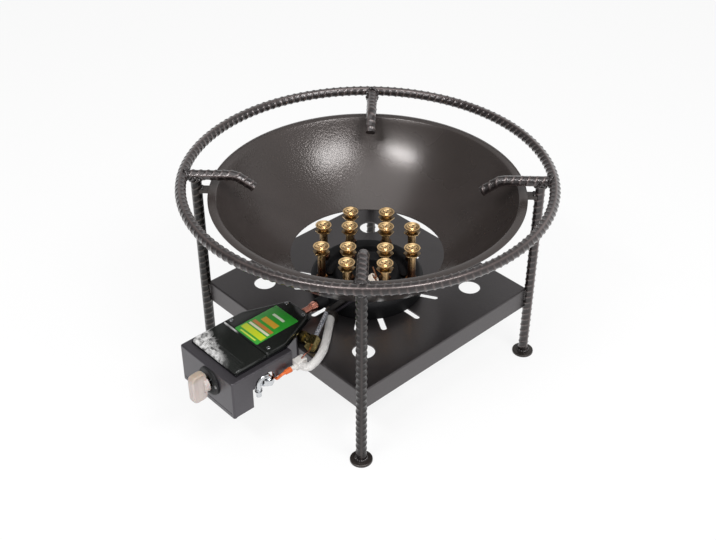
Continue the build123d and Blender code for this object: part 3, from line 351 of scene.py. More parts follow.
turn = full_turn(JOINT_STEPS)
side, rise = (BAR_R * np.cos(turn))[:, None], (BAR_R * np.sin(turn))[:, None]
inset = np.sqrt(np.maximum(BAR_R**2 - (rise + ARM_Z - RING_Z) ** 2, 0))
drop = np.sqrt(np.maximum(BAR_R**2 - side**2, 0))
run = np.linspace(-0.5, 0.5, BEAD_STEPS)[:, None]
tab_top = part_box("bowl_tabs")[1][2]
beads = {"ring_welds": [], "leg_welds": [], "foot_welds": [], "tray_welds": [], "tab_welds": []}
for angle in CORNERS.values():
    outward, across = corner_ways(angle)
    away = circle(turn, across, above)
    round_arm = (RING_R - inset) * outward + side * across + (ARM_Z + rise) * above
    beads["ring_welds"].append(weld_bead(round_arm, away, BEAD_R, True))
    away = circle(turn, across, outward)
    round_leg = (LEG_R + rise) * outward + side * across
    beads["leg_welds"].append(weld_bead(round_leg + (ARM_Z - drop) * above, away, BEAD_R, True))
    beads["foot_welds"].append(weld_bead(round_leg + FOOT_BEAD_Z * above, away, FOOT_BEAD_R, True))
    corner_x, corner_y = np.sign(outward[:2]) * TRAY_HALF
    leg_x, leg_y = LEG_R * outward[:2]
    reach = np.sqrt(BAR_R**2 - (abs(leg_x) - TRAY_HALF) ** 2)
    tray_feet = ((corner_x, leg_y - np.sign(corner_y) * reach),
                 (leg_x - np.sign(corner_x) * reach, corner_y))
    out_of_tray = np.broadcast_to(outward, (BEAD_STEPS, 3))
    for foot in tray_feet:
        middle = np.array([*foot, TRAY_TOP - TRAY_BEAD_L / 2 - TRAY_BEAD_DROP])
        upright = middle + run * TRAY_BEAD_L * above
        beads["tray_welds"].append(weld_bead(upright, out_of_tray, TRAY_BEAD_R, False))
    tab_end = (LEG_R - BAR_R) * outward + tab_top * above + run * 2 * TAB_HALF_W * across
    beads["tab_welds"].append(weld_bead(tab_end, np.broadcast_to(above, (BEAD_STEPS, 3)), TAB_BEAD_R, False))
for name, shells in beads.items():
    add_piece(name, shells, bar_paint)

# Foot discs under the legs and the tabs that carry the bowl: punched and cut from steel plate, welded on and
# painted with the rest. The punch leaves the discs' upper edge rounded.
FOOT_R = 15 * MM
FOOT_T = 4 * MM
FOOT_EASE = (1.0 * MM, 1.6 * MM)
FOOT_CORE_R = 2 * MM          # inside this the faces are closed flat


def rounded(points, reach, steps=6):
    """Outline with eased corners: each inner corner becomes a parabola that touches both sides at the given
    distances from the corner."""
    points = [np.array(point, float) for point in points]
    share = np.linspace(0, 1, steps)[:, None]
    parts = [points[0][None]]
    for before, here, after, ease in zip(points, points[1:], points[2:], reach):
        enter, leave = here + unit(before - here) * ease, here + unit(after - here) * ease
        parts.append((1 - share) ** 2 * enter + 2 * share * (1 - share) * here + share**2 * leave)
    return np.concatenate([*parts, points[-1][None]])


def square_to(ahead):
    """Two unit vectors square to a direction and to each other."""
    ahead = unit(np.array(ahead, float))
    side = np.cross((0.0, 1.0, 0.0), ahead) if abs(ahead[1]) < 0.9 else np.array([1.0, 0.0, 0.0])
    side = unit(side)
    return side, np.cross(ahead, side)


def turned(profile, count=160, foot=(0.0, 0.0, 0.0), ahead=(0.0, 0.0, 1.0)):
    """Rows of a turned or spun shape: each point of the profile, its radius and its distance along the axis
    from the foot, goes round the axis."""
    radius, along = profile[:, 0, None, None], profile[:, 1, None, None]
    return np.array(foot) + radius * circle(full_turn(count), *square_to(ahead)) + along * np.array(ahead)


plate_paint = hammered_paint("hammered_paint_on_plate", ("#302b29", "#423c39"), dimple_mm=1.8, depth_mm=0.2,
                             roughness=0.34, metallic=0.6)
disc_profile = rounded([(FOOT_CORE_R, 0), (FOOT_R, 0), (FOOT_R, FOOT_T), (FOOT_CORE_R, FOOT_T)], FOOT_EASE)
for corner, angle in CORNERS.items():
    disc_rows = turned(disc_profile, count=64, foot=LEG_R * corner_ways(angle)[0])
    add_piece(f"foot_disc_{corner}", [(disc_rows, False)], plate_paint,
              stands_for=[f"foot_{corner}"])
dress(plate_paint, "bowl_tabs")

# Heat bowl: sheet steel spun to a zone of a sphere, with a flat lip and a large hole for the burner.
# The spray lies thicker here than on the bars, so the dimples are broader and the gloss higher.
BOWL_T = 2 * MM
BOWL_HOLE = (105 * MM, 171 * MM)
BOWL_RIM = (199 * MM, 271 * MM)
BOWL_LIP_R = 210 * MM
BOWL_LIP_CROWN = 0.8 * MM
BOWL_BEND = 2.5 * MM          # under the lip, where it turns into the wall
BOWL_LIP_EASE = 0.6 * MM
BOWL_BRINK_EASE = 0.7 * MM    # where the lip turns down into the bowl
BOWL_STEPS = 48
LIP_STEPS = 13
bowl_centre_z = (BOWL_RIM[0] ** 2 - BOWL_HOLE[0] ** 2 + BOWL_RIM[1] ** 2 - BOWL_HOLE[1] ** 2) / (
    2 * (BOWL_RIM[1] - BOWL_HOLE[1]))
bowl_r = np.hypot(BOWL_HOLE[0], bowl_centre_z - BOWL_HOLE[1])
fall = np.linspace(np.arcsin(BOWL_RIM[0] / bowl_r), np.arcsin(BOWL_HOLE[0] / bowl_r), BOWL_STEPS)
inner_wall, outer_wall = (np.stack([wall_r * np.sin(fall), bowl_centre_z - wall_r * np.cos(fall)], -1)
                          for wall_r in (bowl_r, bowl_r + BOWL_T))
lip_top, lip_under = BOWL_RIM[1], BOWL_RIM[1] - BOWL_T
lip_share = np.linspace(1, -1, LIP_STEPS)
lip_crown = np.stack([(BOWL_LIP_R + BOWL_RIM[0]) / 2 + lip_share * (BOWL_LIP_R - BOWL_RIM[0]) / 2,
                      lip_top - BOWL_LIP_CROWN * lip_share**2], -1)
lip_edge = rounded([outer_wall[2], (outer_wall[0, 0], lip_under), (BOWL_LIP_R, lip_under), lip_crown[0]],
                   (BOWL_BEND, BOWL_LIP_EASE))
lip_brink = rounded([lip_crown[-2], lip_crown[-1], inner_wall[2]], (BOWL_BRINK_EASE,))
bowl_section = np.concatenate([lip_edge, lip_crown[1:-2], lip_brink, inner_wall[3:], outer_wall[:2:-1]])
bowl_paint = hammered_paint("hammered_paint_on_bowl", ("#37312e", "#423a38"), dimple_mm=2.6, depth_mm=0.3,
                            roughness=0.28, metallic=0.35, coat=0.45, thick_side=True)
add_piece("spun_bowl", [(turned(bowl_section, count=240), True)], bowl_paint,
          stands_for=["heat_bowl"])

# Shelf tray: folded from sheet, with punched air slots and four round holes, welded to the legs at its
# corners. It is sprayed thinly from below and above, so its skin is the smoothest of the painted pieces.
tray_paint = hammered_paint("hammered_paint_on_tray", ("#4e4b4c", "#5a5657"), dimple_mm=2.2, depth_mm=0.1,
                            roughness=0.36, metallic=0.85)
dress(tray_paint, "tray")

# Burner: a black cast-iron base with two raised rings over its gas chambers and a boss for the pipe, bolted
# down to the tray. The sand mould leaves a grain, and the edges are rounded.
BASE_PROFILE = [(2, 129), (23.5, 129), (26.5, 141), (43.5, 141), (46.5, 131), (55.5, 131), (58.5, 141),
                (73, 141), (78, 135), (78, 114), (2, 114)]
BASE_EASE = [3 * MM] * 8 + [0.8 * MM]
BOSS_PROFILE = [(0.5, 0), (8.5, 0), (8.5, 24), (0.5, 24)]
BOSS_EASE = (1 * MM, 1 * MM)
BOSS_FOOT = (0, -94 * MM, 128 * MM)


def cast_iron():
    """Sand-cast grey iron under black heat paint: dull, with a fine grain from the mould."""
    material, tree, shader, where = new_material("black_cast_iron", Specular_IOR_Level=0.15)
    grain = add_node(tree, "TexNoise", {"Scale": 1 / (1.1 * MM), "Detail": 4.0}, {"Vector": where})
    soot = add_node(tree, "TexNoise", {"Scale": 1 / (25 * MM), "Detail": 3.0}, {"Vector": where})
    set_look(tree, shader, soot, ("#0c0c0d", "#19191b"), (soot, 0.5, 0.7),
             (grain, {"Strength": 0.5, "Distance": 0.25 * MM}))
    return material


base_rows = turned(rounded(np.array(BASE_PROFILE) * MM, BASE_EASE))
boss_profile = rounded(np.array(BOSS_PROFILE) * MM, BOSS_EASE)
boss_rows = turned(boss_profile, count=40, foot=BOSS_FOOT, ahead=(0.0, 1.0, 0.0))
add_piece("burner_casting", [(base_rows, False), (boss_rows, False)], cast_iron(),
          stands_for=["burner_base"])

# Twelve jets, turned from hexagon brass: a stem, a thin hexagon flange to turn it by, and a flared dish with
# a ring of ports. They are screwed into the base and locked by a nut each. The stems are drawn browner
# towards their foot; the hexagon, the cup's waist, a ring in the dish and the ports are darkened as painted
# shade.
OUTER_JETS = (66 * MM, 8)     # radius of the circle that they stand on, and their number
INNER_JETS = (35.2 * MM, 4)
JET_HEX_R = 11.6 * MM         # over the corners
JET_TURN = 47                 # degrees to a corner, and how far that differs from jet to jet
JET_TURN_STEP = 9
JET_PORTS = 6
PORT_AT = (5.8 * MM, 195.1 * MM)
PORT_R = 1.4 * MM
PORT_DEPTH = 0.5 * MM
SHADE_RING_R = 8.5 * MM           # a ring of painted shade between the rim and the ports
SHADE_RING_HALF_W = 0.7 * MM
SHADE_RING_DARKNESS = 0.65
JET_STEM = [(5.5, 136), (5.5, 186.4), (6, 186.8)]
JET_HEXAGON = [(10.6, 186.9), (11.3, 187.2), (11.3, 188), (10.6, 188.3)]
JET_CUP = [(5.7, 188.4), (5.9, 189), (10.5, 195.6), (11, 196.5), (10.9, 196.9), (10.7, 197), (9.8, 197)]
JET_PAINTED_SHADE = [0.7, 0.0, 0.0, 0.8, 0.8, 0.5]   # painted shade on the hexagon and at the cup's waist
JET_DISH = [(9.6, 196.9), (9.3, 196.7), (4.4, 194.5), (3.8, 194.4), (3.3, 195.2), (2.8, 195.5), (1.3, 195.5),
            (1.2, 190)]
STEM_STEP = 12.0              # millimetres between rows of points
DISH_STEP = 0.3
JET_AROUND = 120
JET_NUT_R = 8.5 * MM
JET_NUT_Z = 141 * MM
JET_NUT = [(5.4, 0), (7.8, 0), (8.6, 0.7), (8.6, 5.3), (7.8, 6), (5.4, 6)]
NUT_AROUND = 60


def brass():
    """Turned brass with a satin skin under thin lacquer: pale gold, browner down the stem, and near black
    where a
    point carries painted shade: in the ports, in a ring in the dish, on the hexagon and at the cup's waist."""
    material, tree, shader, where = new_material("turned_brass", Metallic=1.0, Coat_Weight=0.6,
                                                 Coat_Roughness=0.1)
    place = add_node(tree, "SeparateXYZ", {}, {"Vector": where})
    warm = add_node(tree, "MapRange", {"From Min": 160 * MM, "From Max": 189 * MM},
                    {"Value": place.outputs["Z"]})
    shift = add_node(tree, "TexNoise", {"Scale": 1 / (5 * MM), "Detail": 4.0}, {"Vector": where})
    tinted = add_node(tree, "Mix", {"data_type": "RGBA", 6: linear("#6a462c"), 7: linear("#ffd79b")},
                      {0: warm})
    # the attribute soot holds each point's painted shade
    soot = add_node(tree, "Attribute", {"attribute_name": "soot"})
    set_look(tree, shader, soot.outputs["Fac"], (tinted.outputs[2], "#1c120a"), (shift, 0.2, 0.38))
    return material


def dense(points, step):
    """Profile with extra points, at most a step apart, along its straight stretches."""
    points = np.array(points, float)
    spans = [np.linspace(a, b, max(int(np.linalg.norm(b - a) / step), 1), endpoint=False)
             for a, b in zip(points, points[1:])]
    return np.concatenate([*spans, points[-1:]])


def hexagon_reach(turn, corner_r, corner_at):
    """Distance from a hexagon's middle to its edge at each turn. Its corners have a radius, the first at an
    angle."""
    return corner_r * np.cos(np.pi / 6) / np.cos((turn - corner_at) % (np.pi / 3) - np.pi / 6)


def add_jet(number, centre, corner_at, material):
    """A jet: a turned profile whose hexagon is cut flat, and whose dish is sunk at each port. Each point
    keeps
    its share of painted shade: on the hexagon, round the waist, in a ring in the dish, and black in a port."""
    stem, hexagon = dense(JET_STEM, STEM_STEP) * MM, np.array(JET_HEXAGON) * MM
    cup, dish = np.array(JET_CUP) * MM, dense(JET_DISH, DISH_STEP) * MM
    profile = np.concatenate([stem, hexagon, cup, dish])
    turn = full_turn(JET_AROUND)
    radius, height = np.broadcast_arrays(profile[:, 0, None], profile[:, 1, None] + 0 * turn)
    on_hexagon = np.isin(np.arange(len(profile)), len(stem) + np.arange(len(hexagon)))[:, None]
    radius = np.where(on_hexagon, np.minimum(radius, hexagon_reach(turn, JET_HEX_R, corner_at)), radius)
    beside = ((turn * JET_PORTS / (2 * np.pi) + 0.5) % 1 - 0.5) * 2 * np.pi / JET_PORTS * PORT_AT[0]
    apart = np.hypot(beside, np.hypot(radius - PORT_AT[0], height - PORT_AT[1]))
    in_dish = (np.arange(len(profile)) >= len(profile) - len(dish))[:, None]
    in_port = np.where(in_dish, np.exp(-((apart / PORT_R) ** 4)), 0)
    rows = np.stack([centre[0] + radius * np.cos(turn), centre[1] + radius * np.sin(turn),
                     height - PORT_DEPTH * in_port], -1)
    jet = add_piece(f"brass_jet_{number:02d}", [(rows, False)], material,
                    stands_for=[f"jet_{number:02d}"], sharp=28)
    under = np.zeros((len(profile), 1))
    under[len(stem):len(stem) + len(JET_PAINTED_SHADE), 0] = JET_PAINTED_SHADE
    shade_ring = SHADE_RING_DARKNESS * in_dish * np.exp(-(((radius - SHADE_RING_R) / SHADE_RING_HALF_W) ** 2))
    painted_shade_share = np.maximum(np.maximum(in_port, shade_ring), under)
    # stored as the attribute soot; it is painted shade
    soot = jet.data.attributes.new("soot", "FLOAT", "POINT")
    soot.data.foreach_set("value", painted_shade_share.astype(np.float32).ravel())


def nut_rows(profile, corner_r, corner_at, foot, ahead=(0.0, 0.0, 1.0)):
    """Rows of a nut: a chamfered ring profile round an axis, its outside cut flat by a hexagon."""
    profile = np.array(profile) * MM
    turn = full_turn(NUT_AROUND)
    radius = np.minimum(profile[:, 0, None], hexagon_reach(turn, corner_r, corner_at))[..., None]
    along = profile[:, 1, None, None]
    return np.array(foot) + radius * circle(turn, *square_to(ahead)) + along * np.array(ahead)


jet_brass = brass()
jet_places = [(OUTER_JETS[0], 360 / OUTER_JETS[1] * (k + 0.5)) for k in range(OUTER_JETS[1])]
jet_places += [(INNER_JETS[0], 360 / INNER_JETS[1] * k) for k in range(INNER_JETS[1])]
nut_shells = []
for number, (jet_r, angle) in enumerate(jet_places, start=1):
    corner_at = np.radians(JET_TURN + JET_TURN_STEP * (number % 3 - 1))
    middle = (jet_r * np.cos(np.radians(angle)), jet_r * np.sin(np.radians(angle)))
    add_jet(number, middle, corner_at, jet_brass)
    nut_shells.append((nut_rows(JET_NUT, JET_NUT_R, corner_at, (*middle, JET_NUT_Z)), True))
add_piece("jet_lock_nuts", nut_shells, jet_brass, stands_for=["jet_nuts"], sharp=30)


# Bolts of the burner, blackened by the flame, and the small steel pieces inside valve and case: pressed or
# turned from steel wire and strip, and zinc-plated.
def plain_metal(name, colours, roughness, patch_mm):
    """Bare drawn or plated metal: an even colour that dulls in patches where it has been handled."""
    material, tree, shader, where = new_material(name, Metallic=1.0)
    patch = add_node(tree, "TexNoise", {"Scale": 1 / (patch_mm * MM), "Detail": 4.0}, {"Vector": where})
    set_look(tree, shader, patch, colours, (patch, roughness * 0.6, roughness * 1.5))
    return material


blackened = plain_metal("flame_blackened_steel", ("#2c2a2a", "#161515"), roughness=0.42, patch_mm=3)
dress(blackened, "burner_bolts")
zinc = plain_metal("bright_zinc_plate", ("#b9bbbc", "#8d9093"), roughness=0.26, patch_mm=3)
dress(zinc, "valve_stem", "push_washer", "battery_contacts")

# Return spring behind the stem's washer: spring wire wound cold to a coil and zinc-plated. It rests against
# the plug, and the washer presses it together.
KNOB_AXIS = (7 * MM, 110 * MM)   # where the stem's axis lies across and up
SPRING_SPAN = (-258.6 * MM, -244.9 * MM)
SPRING_R = 6.2 * MM
SPRING_WIRE_R = 0.6 * MM
SPRING_PITCH = 3 * MM
SPRING_STEPS = 240
SPRING_WIRE_AROUND = 16


def spring_rows():
    """Rows of a coil spring: the wire's circle carried along a helix round the stem's axis."""
    y = np.linspace(*SPRING_SPAN, SPRING_STEPS)
    turn = 2 * np.pi * (y - y[0]) / SPRING_PITCH
    out = np.stack([np.cos(turn), 0 * turn, np.sin(turn)], -1)
    middle = np.stack([KNOB_AXIS[0] + 0 * y, y, KNOB_AXIS[1] + 0 * y], -1) + SPRING_R * out
    side = np.cross(unit(np.gradient(middle, axis=0)), out)
    section = circle(full_turn(SPRING_WIRE_AROUND), out[:, None], side[:, None])
    return middle[:, None] + SPRING_WIRE_R * section


spring = add_piece("wound_spring", [(spring_rows(), False)], zinc,
                   stands_for=["return_spring"])
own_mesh(spring)

# Gas pipe from the valve to the burner, its union nuts and the sensor's thin lead: drawn copper tube, and
# nuts turned from a red copper alloy, which clamp the pipe's ends.
UNION_R = 7.2 * MM
UNION_TURN = 0.3              # radians to a corner
UNION_NUT = [(4.9, 0), (6.4, 0), (7.3, 0.9), (7.3, 5.2), (6.4, 6.2), (6.1, 9.6), (5.4, 10.4), (4.9, 10.4)]
UNION_PLACES = [((KNOB_AXIS[0], -212 * MM, KNOB_AXIS[1]), (0.0, 1.0, 0.0)), (BOSS_FOOT, (0.0, -1.0, 0.0))]
copper = plain_metal("drawn_copper", ("#dd9d8a", "#a86453"), roughness=0.22, patch_mm=4)
dress(copper, "gas_pipe", "sensor_lead")
union_shells = [(nut_rows(UNION_NUT, UNION_R, UNION_TURN, foot, ahead), True)
                for foot, ahead in UNION_PLACES]
add_piece("union_nuts", union_shells, copper, stands_for=["pipe_nuts"], sharp=30)

# Valve body and plug behind the panel, and the safety valve on the pipe: cast and turned brass, left
# unpolished, so it has dulled to olive.
dull_brass = plain_metal("unpolished_brass", ("#b09f68", "#6d6240"), roughness=0.28, patch_mm=3)
dress(dull_brass, "safety_valve", "valve_body", "valve_plug")


# Sensor tube from the electrode's bracket to the safety valve: a thin tube under a braid of tinned wire. It
# is clamped under the valve's nut.
def tinned_braid():
    """Braid of tinned wire: pale blue-grey spots painted as glints, darker between them as painted shade in
    the gaps between the strands, drawn coarser than the real ones to show."""
    material, tree, shader, where = new_material("tinned_wire_braid", Metallic=0.35, Roughness=0.38)
    strand = add_node(tree, "TexVoronoi", {"Scale": 1 / (2.2 * MM)}, {"Vector": where})
    strand_glint_and_shade = add_node(tree, "MapRange", {"From Min": 0.25, "From Max": 0.75}, {"Value": strand})
    set_look(tree, shader, strand_glint_and_shade, ("#dfe2ea", "#777c88"),
             relief=(strand, {"Strength": 0.6, "Distance": 0.3 * MM, "invert": True}))
    return material


dress(tinned_braid(), "sensor_tube")

# Control box: a hood of folded sheet that carries the valve in front, and the small clip of the electrode.
# It is painted before the case goes on, and shows a purple-grey sheen.
box_paint = hammered_paint("hammered_paint_on_box", ("#413e42", "#504d52"), dimple_mm=2.0, depth_mm=0.12,
                           roughness=0.36, metallic=0.6)
dress(box_paint, "control_box")
dress(plate_paint, "electrode_bracket")

# Gas inlet: brass tube bent to a swan neck, with a hexagon and a barbed tail for the hose, plated with
# chrome. It is screwed into the valve through the notch in the box's side.
chrome = plain_metal("chrome_plate", ("#dcdddf", "#bfc2c6"), roughness=0.1, patch_mm=4)
dress(chrome, "gas_inlet")


# Lower igniter case: a deck with a tub for the battery, injection-moulded from glossy black ABS and clipped
# into the window in the box's top. The battery and the potted spark module sit below.
def moulded(name, colours, roughness, grain_mm, depth_mm):
    """Moulded plastic or rubber: an even colour with faint clouds, and a fine grain from the mould."""
    material, tree, shader, where = new_material(name)
    cloud = add_node(tree, "TexNoise", {"Scale": 1 / (14 * MM), "Detail": 3.0}, {"Vector": where})
    grain = add_node(tree, "TexNoise", {"Scale": 1 / (grain_mm * MM), "Detail": 2.0}, {"Vector": where})
    set_look(tree, shader, cloud, colours, (cloud, roughness * 0.75, roughness * 1.25),
             (grain, {"Strength": 0.5, "Distance": depth_mm * MM}))
    return material


dress(moulded("glossy_black_abs", ("#0c0c0e", "#141416"), roughness=0.13, grain_mm=1.4, depth_mm=0.02),
      "case_tub")
dress(moulded("battery_jacket_film", ("#2a2c31", "#3a3d44"), roughness=0.3, grain_mm=2.0, depth_mm=0.01),
      "battery")
dress(moulded("black_potting_epoxy", ("#101113", "#1b1c1f"), roughness=0.35, grain_mm=1.5, depth_mm=0.05),
      "spark_module")

# Rear cover of the case: a moulded lid that narrows towards the burner, with soft edges, and a painted
# highlight along its front edge at the left, by the seam. The label is stuck on it, and four screws hold it
# to the deck.
LID_CORNERS = [(44.6, -185), (20, -123.4), (-20, -123.4), (-44.6, -185), (-44.6, -215.8), (44.6, -215.8)]
LID_EASE = 3.5 * MM
LID_EDGE = [(0, 134.5), (0, 138.2), (0.25, 139.4), (0.9, 140.3), (1.9, 140.8), (3.2, 141)]
LID_PAINTED_HIGHLIGHT = {"across": (-12, -20), "along": (-214.4, -214.9), "slant": 0.0, "ragged_mm": 0.0,
              "patch_mm": 20}


def eased_plan(corners, ease, steps=8):
    """Closed outline with eased corners, from the middle of its last side round to the same place."""
    first = (np.array(corners[0]) + corners[-1]) / 2
    return rounded([first, *corners, first], [ease] * len(corners), steps)[:-1]


def slab(outline, edge, order=(0, 1, 2)):
    """Rows of a plate with shaped edges: the outline, drawn in along its own normals by each step's inset,
    at each step's height. The order says which of outline, outline and height is x, y and z."""
    step = np.roll(outline, -1, 0) - np.roll(outline, 1, 0)
    normal = unit(np.stack([step[:, 1], -step[:, 0]], -1))
    turning = outline[:, 0] * np.roll(outline[:, 1], -1) - outline[:, 1] * np.roll(outline[:, 0], -1)
    inset, height = np.array(edge)[:, 0, None, None], np.array(edge)[:, 1, None, None]
    flat = outline - np.sign(turning.sum()) * inset * normal
    return np.concatenate([flat, np.broadcast_to(height, (*flat.shape[:2], 1))], -1)[..., list(order)]


def abs_with_painted_highlights(name, across, along, slant, ragged_mm, patch_mm):
    """Glossy black ABS, painted pale in patches as painted highlights, and made dull there. The pale field
    fades in between two places across the case, and between two along it; the latter lean by a slant and
    have a ragged edge."""
    material, tree, shader, where = new_material(name)
    place = add_node(tree, "SeparateXYZ", {}, {"Vector": where})
    patch = add_node(tree, "TexNoise", {"Scale": 1 / (patch_mm * MM), "Detail": 5.0, "Distortion": 0.6},
                     {"Vector": where})
    painted_highlight = add_node(tree, "MapRange", {"From Min": 0.36, "From Max": 0.6, "To Min": 0.15},
                      {"Value": patch})
    slanted = add_node(tree, "Math", {"operation": "MULTIPLY_ADD", 1: slant},
                       {0: place.outputs["X"], 2: place.outputs["Y"]})
    ragged = add_node(tree, "Math", {"operation": "MULTIPLY_ADD", 1: ragged_mm * MM}, {0: patch, 2: slanted})
    for way, (outside, inside) in ((place.outputs["X"], across), (ragged, along)):
        field = add_node(tree, "MapRange", {"From Min": outside * MM, "From Max": inside * MM},
                         {"Value": way})
        painted_highlight = add_node(tree, "Math", {"operation": "MULTIPLY"}, {0: painted_highlight, 1: field})
    # the pale tone is a painted highlight
    set_look(tree, shader, painted_highlight, ("#1c1e1c", "#d0cfce"), (painted_highlight, 0.13, 0.5))
    return material


lid_rows = slab(eased_plan(np.array(LID_CORNERS) * MM, LID_EASE), np.array(LID_EDGE) * MM)
add_piece("rear_case_lid", [(lid_rows, False)], abs_with_painted_highlights("black_abs_with_painted_highlight_at_seam", **LID_PAINTED_HIGHLIGHT),
          stands_for=["case_top"], sharp=50)

# Battery cover: a moulded lid that slides off forwards, with a rounded nose and five ribs for the thumb.
# Its nose is painted pale and made duller at the front left, as a painted highlight.
COVER_SPAN = (-265.8 * MM, -216.6 * MM)
COVER_HALF_W = 45.2 * MM
COVER_FLOOR = 134.9 * MM
COVER_TOP = 140.0 * MM
COVER_NOSE = (11.0 * MM, 4.3 * MM)   # length and drop of the rounded nose
COVER_TAIL = (0.8 * MM, 0.7 * MM)    # and of the eased rear edge
COVER_CORNER = 4.0 * MM
COVER_SIDE_R = 1.7 * MM
COVER_SKIRT = 0.3 * MM               # the least height of its sides
COVER_STEPS = 60
COVER_SIDE_STEPS = 14
COVER_SIDE_STEP = 0.002              # the last step to a side, as a share of the half width
GRIP_AT = np.array([-261.3, -258.2, -255.1, -252.0, -248.9]) * MM
GRIP_END = -247 * MM
GRIP_STEPS = 120
GRIP_H = 0.8 * MM
GRIP_HALF_W = 0.75 * MM
GRIP_HALF_L = 39 * MM
GRIP_TAPER = 1.5 * MM                # a rib slopes down to its ends over this
# the pale field on the nose is a painted highlight
COVER_PAINTED_HIGHLIGHT = {"across": (30, 10), "along": (-239, -246), "slant": 0.34, "ragged_mm": 24, "patch_mm": 7}


def cover_rows():
    """Rows of the battery cover: across, a flat top with round edges; along, a nose that drops as a quarter
    ellipse; on top, ribs with round crowns that end short of the sides."""
    y = np.unique(np.concatenate([np.linspace(*COVER_SPAN, COVER_STEPS),
                                  np.linspace(COVER_SPAN[0], GRIP_END, GRIP_STEPS)]))
    ahead = np.clip((COVER_SPAN[0] + COVER_NOSE[0] - y) / COVER_NOSE[0], 0, 1)
    crown = COVER_TOP - COVER_NOSE[1] * (1 - np.sqrt(1 - ahead**2))
    crown -= COVER_TAIL[1] * np.clip((y - COVER_SPAN[1]) / COVER_TAIL[0] + 1, 0, 1) ** 2
    corner = np.clip(1 - (y - COVER_SPAN[0]) / COVER_CORNER, 0, 1)
    half_w = COVER_HALF_W - COVER_CORNER * (1 - np.sqrt(1 - corner**2))
    edge = 1 - np.geomspace(1, COVER_SIDE_STEP, COVER_SIDE_STEPS)
    spread = np.concatenate([-edge[::-1], edge[1:]])
    x = half_w[:, None] * spread
    over = np.clip((np.abs(x) - half_w[:, None] + COVER_SIDE_R) / COVER_SIDE_R, 0, 1)
    rib = np.exp(-(((y[:, None] - GRIP_AT) / GRIP_HALF_W) ** 4)).sum(1)[:, None]
    rib = rib * np.clip((GRIP_HALF_L - np.abs(x)) / GRIP_TAPER, 0, 1)
    z = crown[:, None] - COVER_SIDE_R * (1 - np.sqrt(1 - over**2)) + GRIP_H * rib
    z = np.maximum(z, COVER_FLOOR + COVER_SKIRT)
    top = np.stack([x, np.broadcast_to(y[:, None], x.shape), z], -1)
    foot = np.stack([half_w, y, np.full(len(y), COVER_FLOOR)], -1)[:, None]
    return np.concatenate([foot * (-1, 1, 1), top, foot], 1)


add_piece("battery_lid", [(cover_rows(), False)], abs_with_painted_highlights("black_abs_with_painted_highlight_at_grip", **COVER_PAINTED_HIGHLIGHT),
          body="cover", stands_for=["battery_cover"], sharp=50)

# Label plate on the rear cover: printed film with plain colour bars on a green ground, under a clear gloss.
# It is stuck down flat in the middle of the cover.
LABEL_L = 70.0
LABEL_HALF = (23 * MM, LABEL_L / 2 * MM)
LABEL_Y = -179 * MM
LABEL_EASE = 2 * MM
LABEL_EDGE = [(0.1, 141.0), (0, 141.1), (0, 141.25), (0.2, 141.4)]
LABEL_GROUND = "#2b982c"
LABEL_BARS = [(2.5, 5, "#c9d64e", 0.66), (8, 18, "#c3d020", 0.9), (20, 24, "#d9d4bc", 0.84),
              (25.5, 31, "#bf7434", 0.82), (36, 45, "#cf9c2c", 0.6), (53, 57, "#d2dcc4", 0.48)]


def label_film():
    """Printed film: each bar lies between two distances from the front edge, and is a share of the width
    long."""
    material, tree, shader, where = new_material("printed_label_film", Coat_Weight=0.1, Coat_Roughness=0.15)
    place = add_node(tree, "SeparateXYZ", {}, {"Vector": where})
    along = add_node(tree, "MapRange",
                     {"From Min": LABEL_Y - LABEL_HALF[1], "From Max": LABEL_Y + LABEL_HALF[1]},
                     {"Value": place.outputs["Y"]})
    bars = add_node(tree, "ValToRGB", {}, {"Fac": along})
    ramp = bars.color_ramp
    ramp.interpolation = "CONSTANT"
    ramp.elements.remove(ramp.elements[1])
    ramp.elements[0].color = (*linear(LABEL_GROUND)[:3], 0.0)
    for start, end, colour, length in LABEL_BARS:
        ramp.elements.new(start / LABEL_L).color = (*linear(colour)[:3], length)
        ramp.elements.new(end / LABEL_L).color = (*linear(LABEL_GROUND)[:3], 0.0)
    beside = add_node(tree, "Math", {"operation": "ABSOLUTE"}, {0: place.outputs["X"]})
    share = add_node(tree, "Math", {"operation": "DIVIDE", 1: LABEL_HALF[0]}, {0: beside})
    on_bar = add_node(tree, "Math", {"operation": "LESS_THAN"}, {0: share, 1: bars.outputs["Alpha"]})
    ink = add_node(tree, "TexNoise", {"Scale": 1 / (5 * MM), "Detail": 3.0}, {"Vector": where})
    ground = add_node(tree, "Mix", {"data_type": "RGBA", 6: linear("#249128"), 7: linear("#33a032")},
                      {0: ink})
    set_look(tree, shader, on_bar, (ground.outputs[2], bars.outputs["Color"]), (ink, 0.4, 0.55))
    return material


label_corners = np.array([(1, 1), (-1, 1), (-1, -1), (1, -1)]) * LABEL_HALF + (0, LABEL_Y)
label_rows = slab(eased_plan(label_corners, LABEL_EASE), np.array(LABEL_EDGE) * MM)
add_piece("label_film_plate", [(label_rows, False)], label_film(), stands_for=["label_plate"])

# Screws of the case and of the collar: small pan heads with a cross recess, cold-headed in steel and
# nickel-plated. Four go down through the rear cover, and two through the collar, sunk in counterbores.
SCREW_R = 2.6 * MM
SCREW_H = 1.4 * MM
SCREW_RIM = 0.45              # the rim's share of the head's height
SCREW_DOME = 2.4              # over 2, so that the dome is flatter than a ball
SCREW_CORE = 0.03             # inside this share of the radius the top is closed flat
SCREW_STEPS = 26
SCREW_AROUND = 64
CROSS_HALF = (0.17, 0.66)     # half width and half length of the recess's bars, as shares of the radius
CROSS_WALL = (0.06, 0.1)      # how wide its soft walls are
CROSS_DEPTH = 0.55            # share of the head's height
CASE_SCREWS = [(38, -207), (17, -131), (-17, -131), (-38, -207)]
CASE_TOP = 141 * MM
COLLAR_FRONT_Y = -282 * MM
COLLAR_SCREW_X = 15 * MM
COLLAR_SCREW_SUNK = 0.9 * MM


